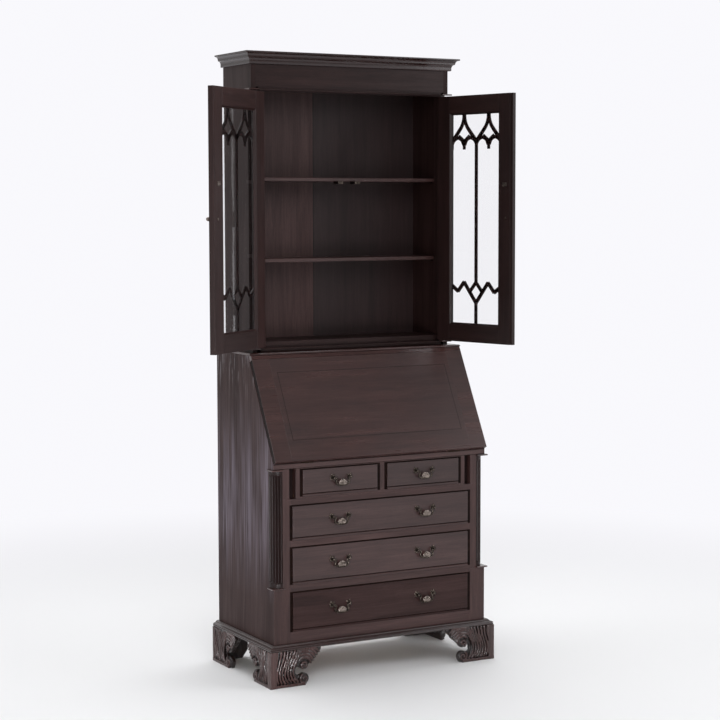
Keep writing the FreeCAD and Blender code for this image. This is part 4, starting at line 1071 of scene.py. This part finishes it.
def bookcase():
    """Rails, jambs, ledge, frieze, cornice and shelves."""
    hinge = UPPER_HALF - UPPER_COLUMN
    inner = UPPER_HALF - 18
    shape = Shape()
    shape.box((-hinge, UPPER_FRONT, SLAB_TOP), (hinge, UPPER_FRONT + 40, DOOR_LOW - 4), 0.7, X)
    # a low bead along the foot of the bookcase
    foot = [(0, 0), (2.4, 0), (3.2, 1.4), (3.2, 6.6), (2.2, 8.2), (0, 8.8)]
    shape.moulding([(-hinge, UPPER_FRONT, SLAB_TOP), (hinge, UPPER_FRONT, SLAB_TOP)], foot)
    for side in (-1, 1):
        left, right = beside(side, hinge, inner)
        near = UPPER_FRONT + UPPER_COLUMN
        shape.box((left, near, DOOR_LOW + 16), (right, near + 22, LEDGE), 0.7, Z)
    shape.box((-hinge, UPPER_FRONT, DOOR_HIGH + 3), (hinge, UPPER_FRONT + 18, LEDGE), 0.5, X)
    nose = [(0, 5), (5.6, 5), (7.6, 6), (8, 8), (7.2, 9.6), (5, 10.2), (5, 11.4)]
    nose += [(6.4, 12), (6.4, 13.4), (5, 14), (0, 14)]
    shape.moulding([(-hinge, UPPER_FRONT, DOOR_HIGH), (hinge, UPPER_FRONT, DOOR_HIGH)], nose)
    shape.finish("case_front_members", dark_wood, "case", ["case_front"])

    frieze = Shape()
    frieze.box((-inner, UPPER_FRONT, LEDGE), (inner, UPPER_FRONT + 18, FRIEZE_TOP), 0.2, X)
    frieze.finish("frieze_board", dark_wood, "case", ["frieze"])

    high = TOP - FRIEZE_TOP
    section = [(-18, 0), (7, 0), (9.4, 0.8), (10, 2.4), (10, 12.6)]
    section += arc((20, 13.2), 9.2, 180, 100, 6)
    section += [(19.2, 22.4), (20, 23.2), (20, 27)]
    section += arc((30.4, 27.2), 9.6, 182, 108, 6)
    section += [(29, 36.6), (32.2, 37.2), (33, 38.4), (33, high - 1.2), (31.8, high), (-18, high)]
    path = [(-UPPER_HALF, UPPER_BACK, FRIEZE_TOP), (-UPPER_HALF, UPPER_FRONT, FRIEZE_TOP)]
    path += [(UPPER_HALF, UPPER_FRONT, FRIEZE_TOP), (UPPER_HALF, UPPER_BACK, FRIEZE_TOP)]
    cornice = Shape()
    cornice.moulding(path, section)
    cornice.finish("cornice_run", cornice_wood, "case", ["cornice"])

    shelves = Shape()
    low_shelf, high_shelf = span("shelves")
    thick = 13
    for level in (low_shelf.z, high_shelf.z - thick):
        shelves.box((low_shelf.x, low_shelf.y, level), (high_shelf.x, high_shelf.y, level + thick), 2.2, X)
    shelves.finish("shelf_boards", board_wood, "case", ["shelves"])


bookcase()

# ---- doors ----


def tracery(shape, side):
    """Gothic glazing bars: two ogee arches at the head, a zigzag and a diamond at the foot."""
    middle = side * (DOOR_NEAR + DOOR_FAR) / 2
    low, high = DOOR_LOW + DOOR_MEMBER, DOOR_HIGH - DOOR_MEMBER
    near, far = DOOR_FACE + 2.6, DOOR_FACE + 8.6

    def bar(points, first, last=None):
        """A bar with bevelled edges along points, as wide as first at its start and last at its end."""
        line = [Vector((middle + u, 0, v)) for u, v in points]
        widen = 0 if last is None else last - first
        rings = []
        for step, point in enumerate(line):
            before, after = line[max(step - 1, 0)], line[min(step + 1, len(line) - 1)]
            along = (after - before).normalized()
            across = Vector((along.z, 0, -along.x))
            wide = (first + widen * step / (len(line) - 1)) / 2
            front = [(-wide, near + 1.4), (-wide + 1.6, near), (wide - 1.6, near), (wide, near + 1.4)]
            back = [(wide, far - 1.4), (wide - 1.6, far), (-wide + 1.6, far), (-wide, far - 1.4)]
            ring = []
            for out, deep in front + back:
                ring.append(Vector((point.x + across.x * out, deep, point.z + across.z * out)))
            rings.append(ring)
        shape.loft(rings, line[-1] - line[0], False)

    def arch(stem, bend, first, last, *points):
        """A curved bar. A point is how far to one side of a stem, and how far below the opening's top."""
        line = smooth_line([(stem + bend * aside, 0, high - down) for aside, down in points], 4)
        bar([(point.x, point.z) for point in line], first, last)

    def straight(width, *points):
        for start, stop in zip(points, points[1:]):
            bar([start, stop], width)

    half = (DOOR_FAR - DOOR_NEAR) / 2 - DOOR_MEMBER
    for sign in (-1, 1):
        stem = sign * 60
        for bend in (-1, 1):
            # one flank of an ogee, which swings out to the arch's foot
            arch(stem, bend, 13, 15.5, (2, -3), (3, 22), (12, 46), (30, 68), (48, 88), (61, 103))
            # the cusped arch below it
            arch(stem, bend, 13, 13, (61, 112), (50, 96), (31, 88), (12, 96), (3, 113))
            # lower edge of the diamond
            straight(12.5, (stem + bend * 26, high - 82), (stem, high - 101))
        bar([(stem, high - 96), (stem, high - 130)], 14, 12)
        bar([(sign * (half - 3), high - 96), (sign * (half - 3), high - 130)], 10, 8)
        zigzag = [(half + 2, low + 142), (89, low + 120), (59, low + 154), (0, low + 80)]
        straight(14.5, *[(sign * u, v) for u, v in zigzag])
        straight(13.5, (sign * 31, low + 119), (0, low + 154))
    straight(14, (0, high - 99), (0, low + 150))
    straight(14, (0, low + 84), (0, low - 3))


def door(word, side):
    """A glazed door, made as it is when shut and hung on its pin at the angle at which it stands open."""
    joint = joints["door_%s_hinge" % word]
    turn = joint["axis"][2] * -joint["range_deg"][0]
    pin = Vector((joint["pos_m"][0], joint["pos_m"][1], 0))
    place = Matrix.Translation(pin) @ Matrix.Rotation(radians(turn), 4, "Z")
    near, far = DOOR_FACE, DOOR_FACE + DOOR_BOARD
    low, high = DOOR_LOW + DOOR_MEMBER, DOOR_HIGH - DOOR_MEMBER
    body = "door_" + word
    shape = Shape()
    rebate = 9 if side < 0 else 0
    stiles = ((DOOR_NEAR, DOOR_NEAR + DOOR_MEMBER), (DOOR_FAR - DOOR_MEMBER, DOOR_FAR - rebate))
    for first, second in stiles:
        left, right = beside(side, first, second)
        shape.box((left, near, DOOR_LOW), (right, far, DOOR_HIGH), 0.9, Z)
    if rebate:
        left, right = beside(side, DOOR_FAR - rebate - 0.5, DOOR_FAR)
        shape.box((left, near, DOOR_LOW), (right, far - 5, DOOR_HIGH), 0.9, Z)
        left, right = beside(side, DOOR_FAR - rebate - 0.5, DOOR_FAR - rebate + 2.4)
        shape.box((left, near + 2, DOOR_LOW + 0.5), (right, far - 2, DOOR_HIGH - 0.5), 0.9, Z)
    left, right = beside(side, DOOR_NEAR + DOOR_MEMBER, DOOR_FAR - DOOR_MEMBER)
    shape.box((left, near, DOOR_LOW), (right, far, low), 0.9, X)
    shape.box((left, near, high), (right, far, DOOR_HIGH), 0.9, X)
    # beads that hold the glass: a wide one inside, a small one outside
    loop = [(left, 0, low), (left, 0, high), (right, 0, high), (right, 0, low)]
    inside = [(0, far - 0.2), (0, near + 9.2), (-6.5, near + 9.2), (-6.5, far - 7)]
    inside += [(-4.6, far - 4.2), (-2, far - 2.6)]
    outside = [(0, near + 0.4), (0, near + 2.4), (-3.5, near + 2.4), (-3, near + 1.2), (-1.4, near + 0.6)]
    for section in (inside, outside):
        shape.moulding(loop, section, lift=Y, closed=True)
    timber = left_wood if side > 0 else door_wood
    shape.finish(body + "_members", timber, body, [body + "_frame"], place=place)
    bars = Shape()
    tracery(bars, side)
    bars.finish(body + "_bars", dark_wood, body, [body + "_tracery"], place=place)


door("left", 1)
door("right", -1)

bpy.context.view_layer.update()
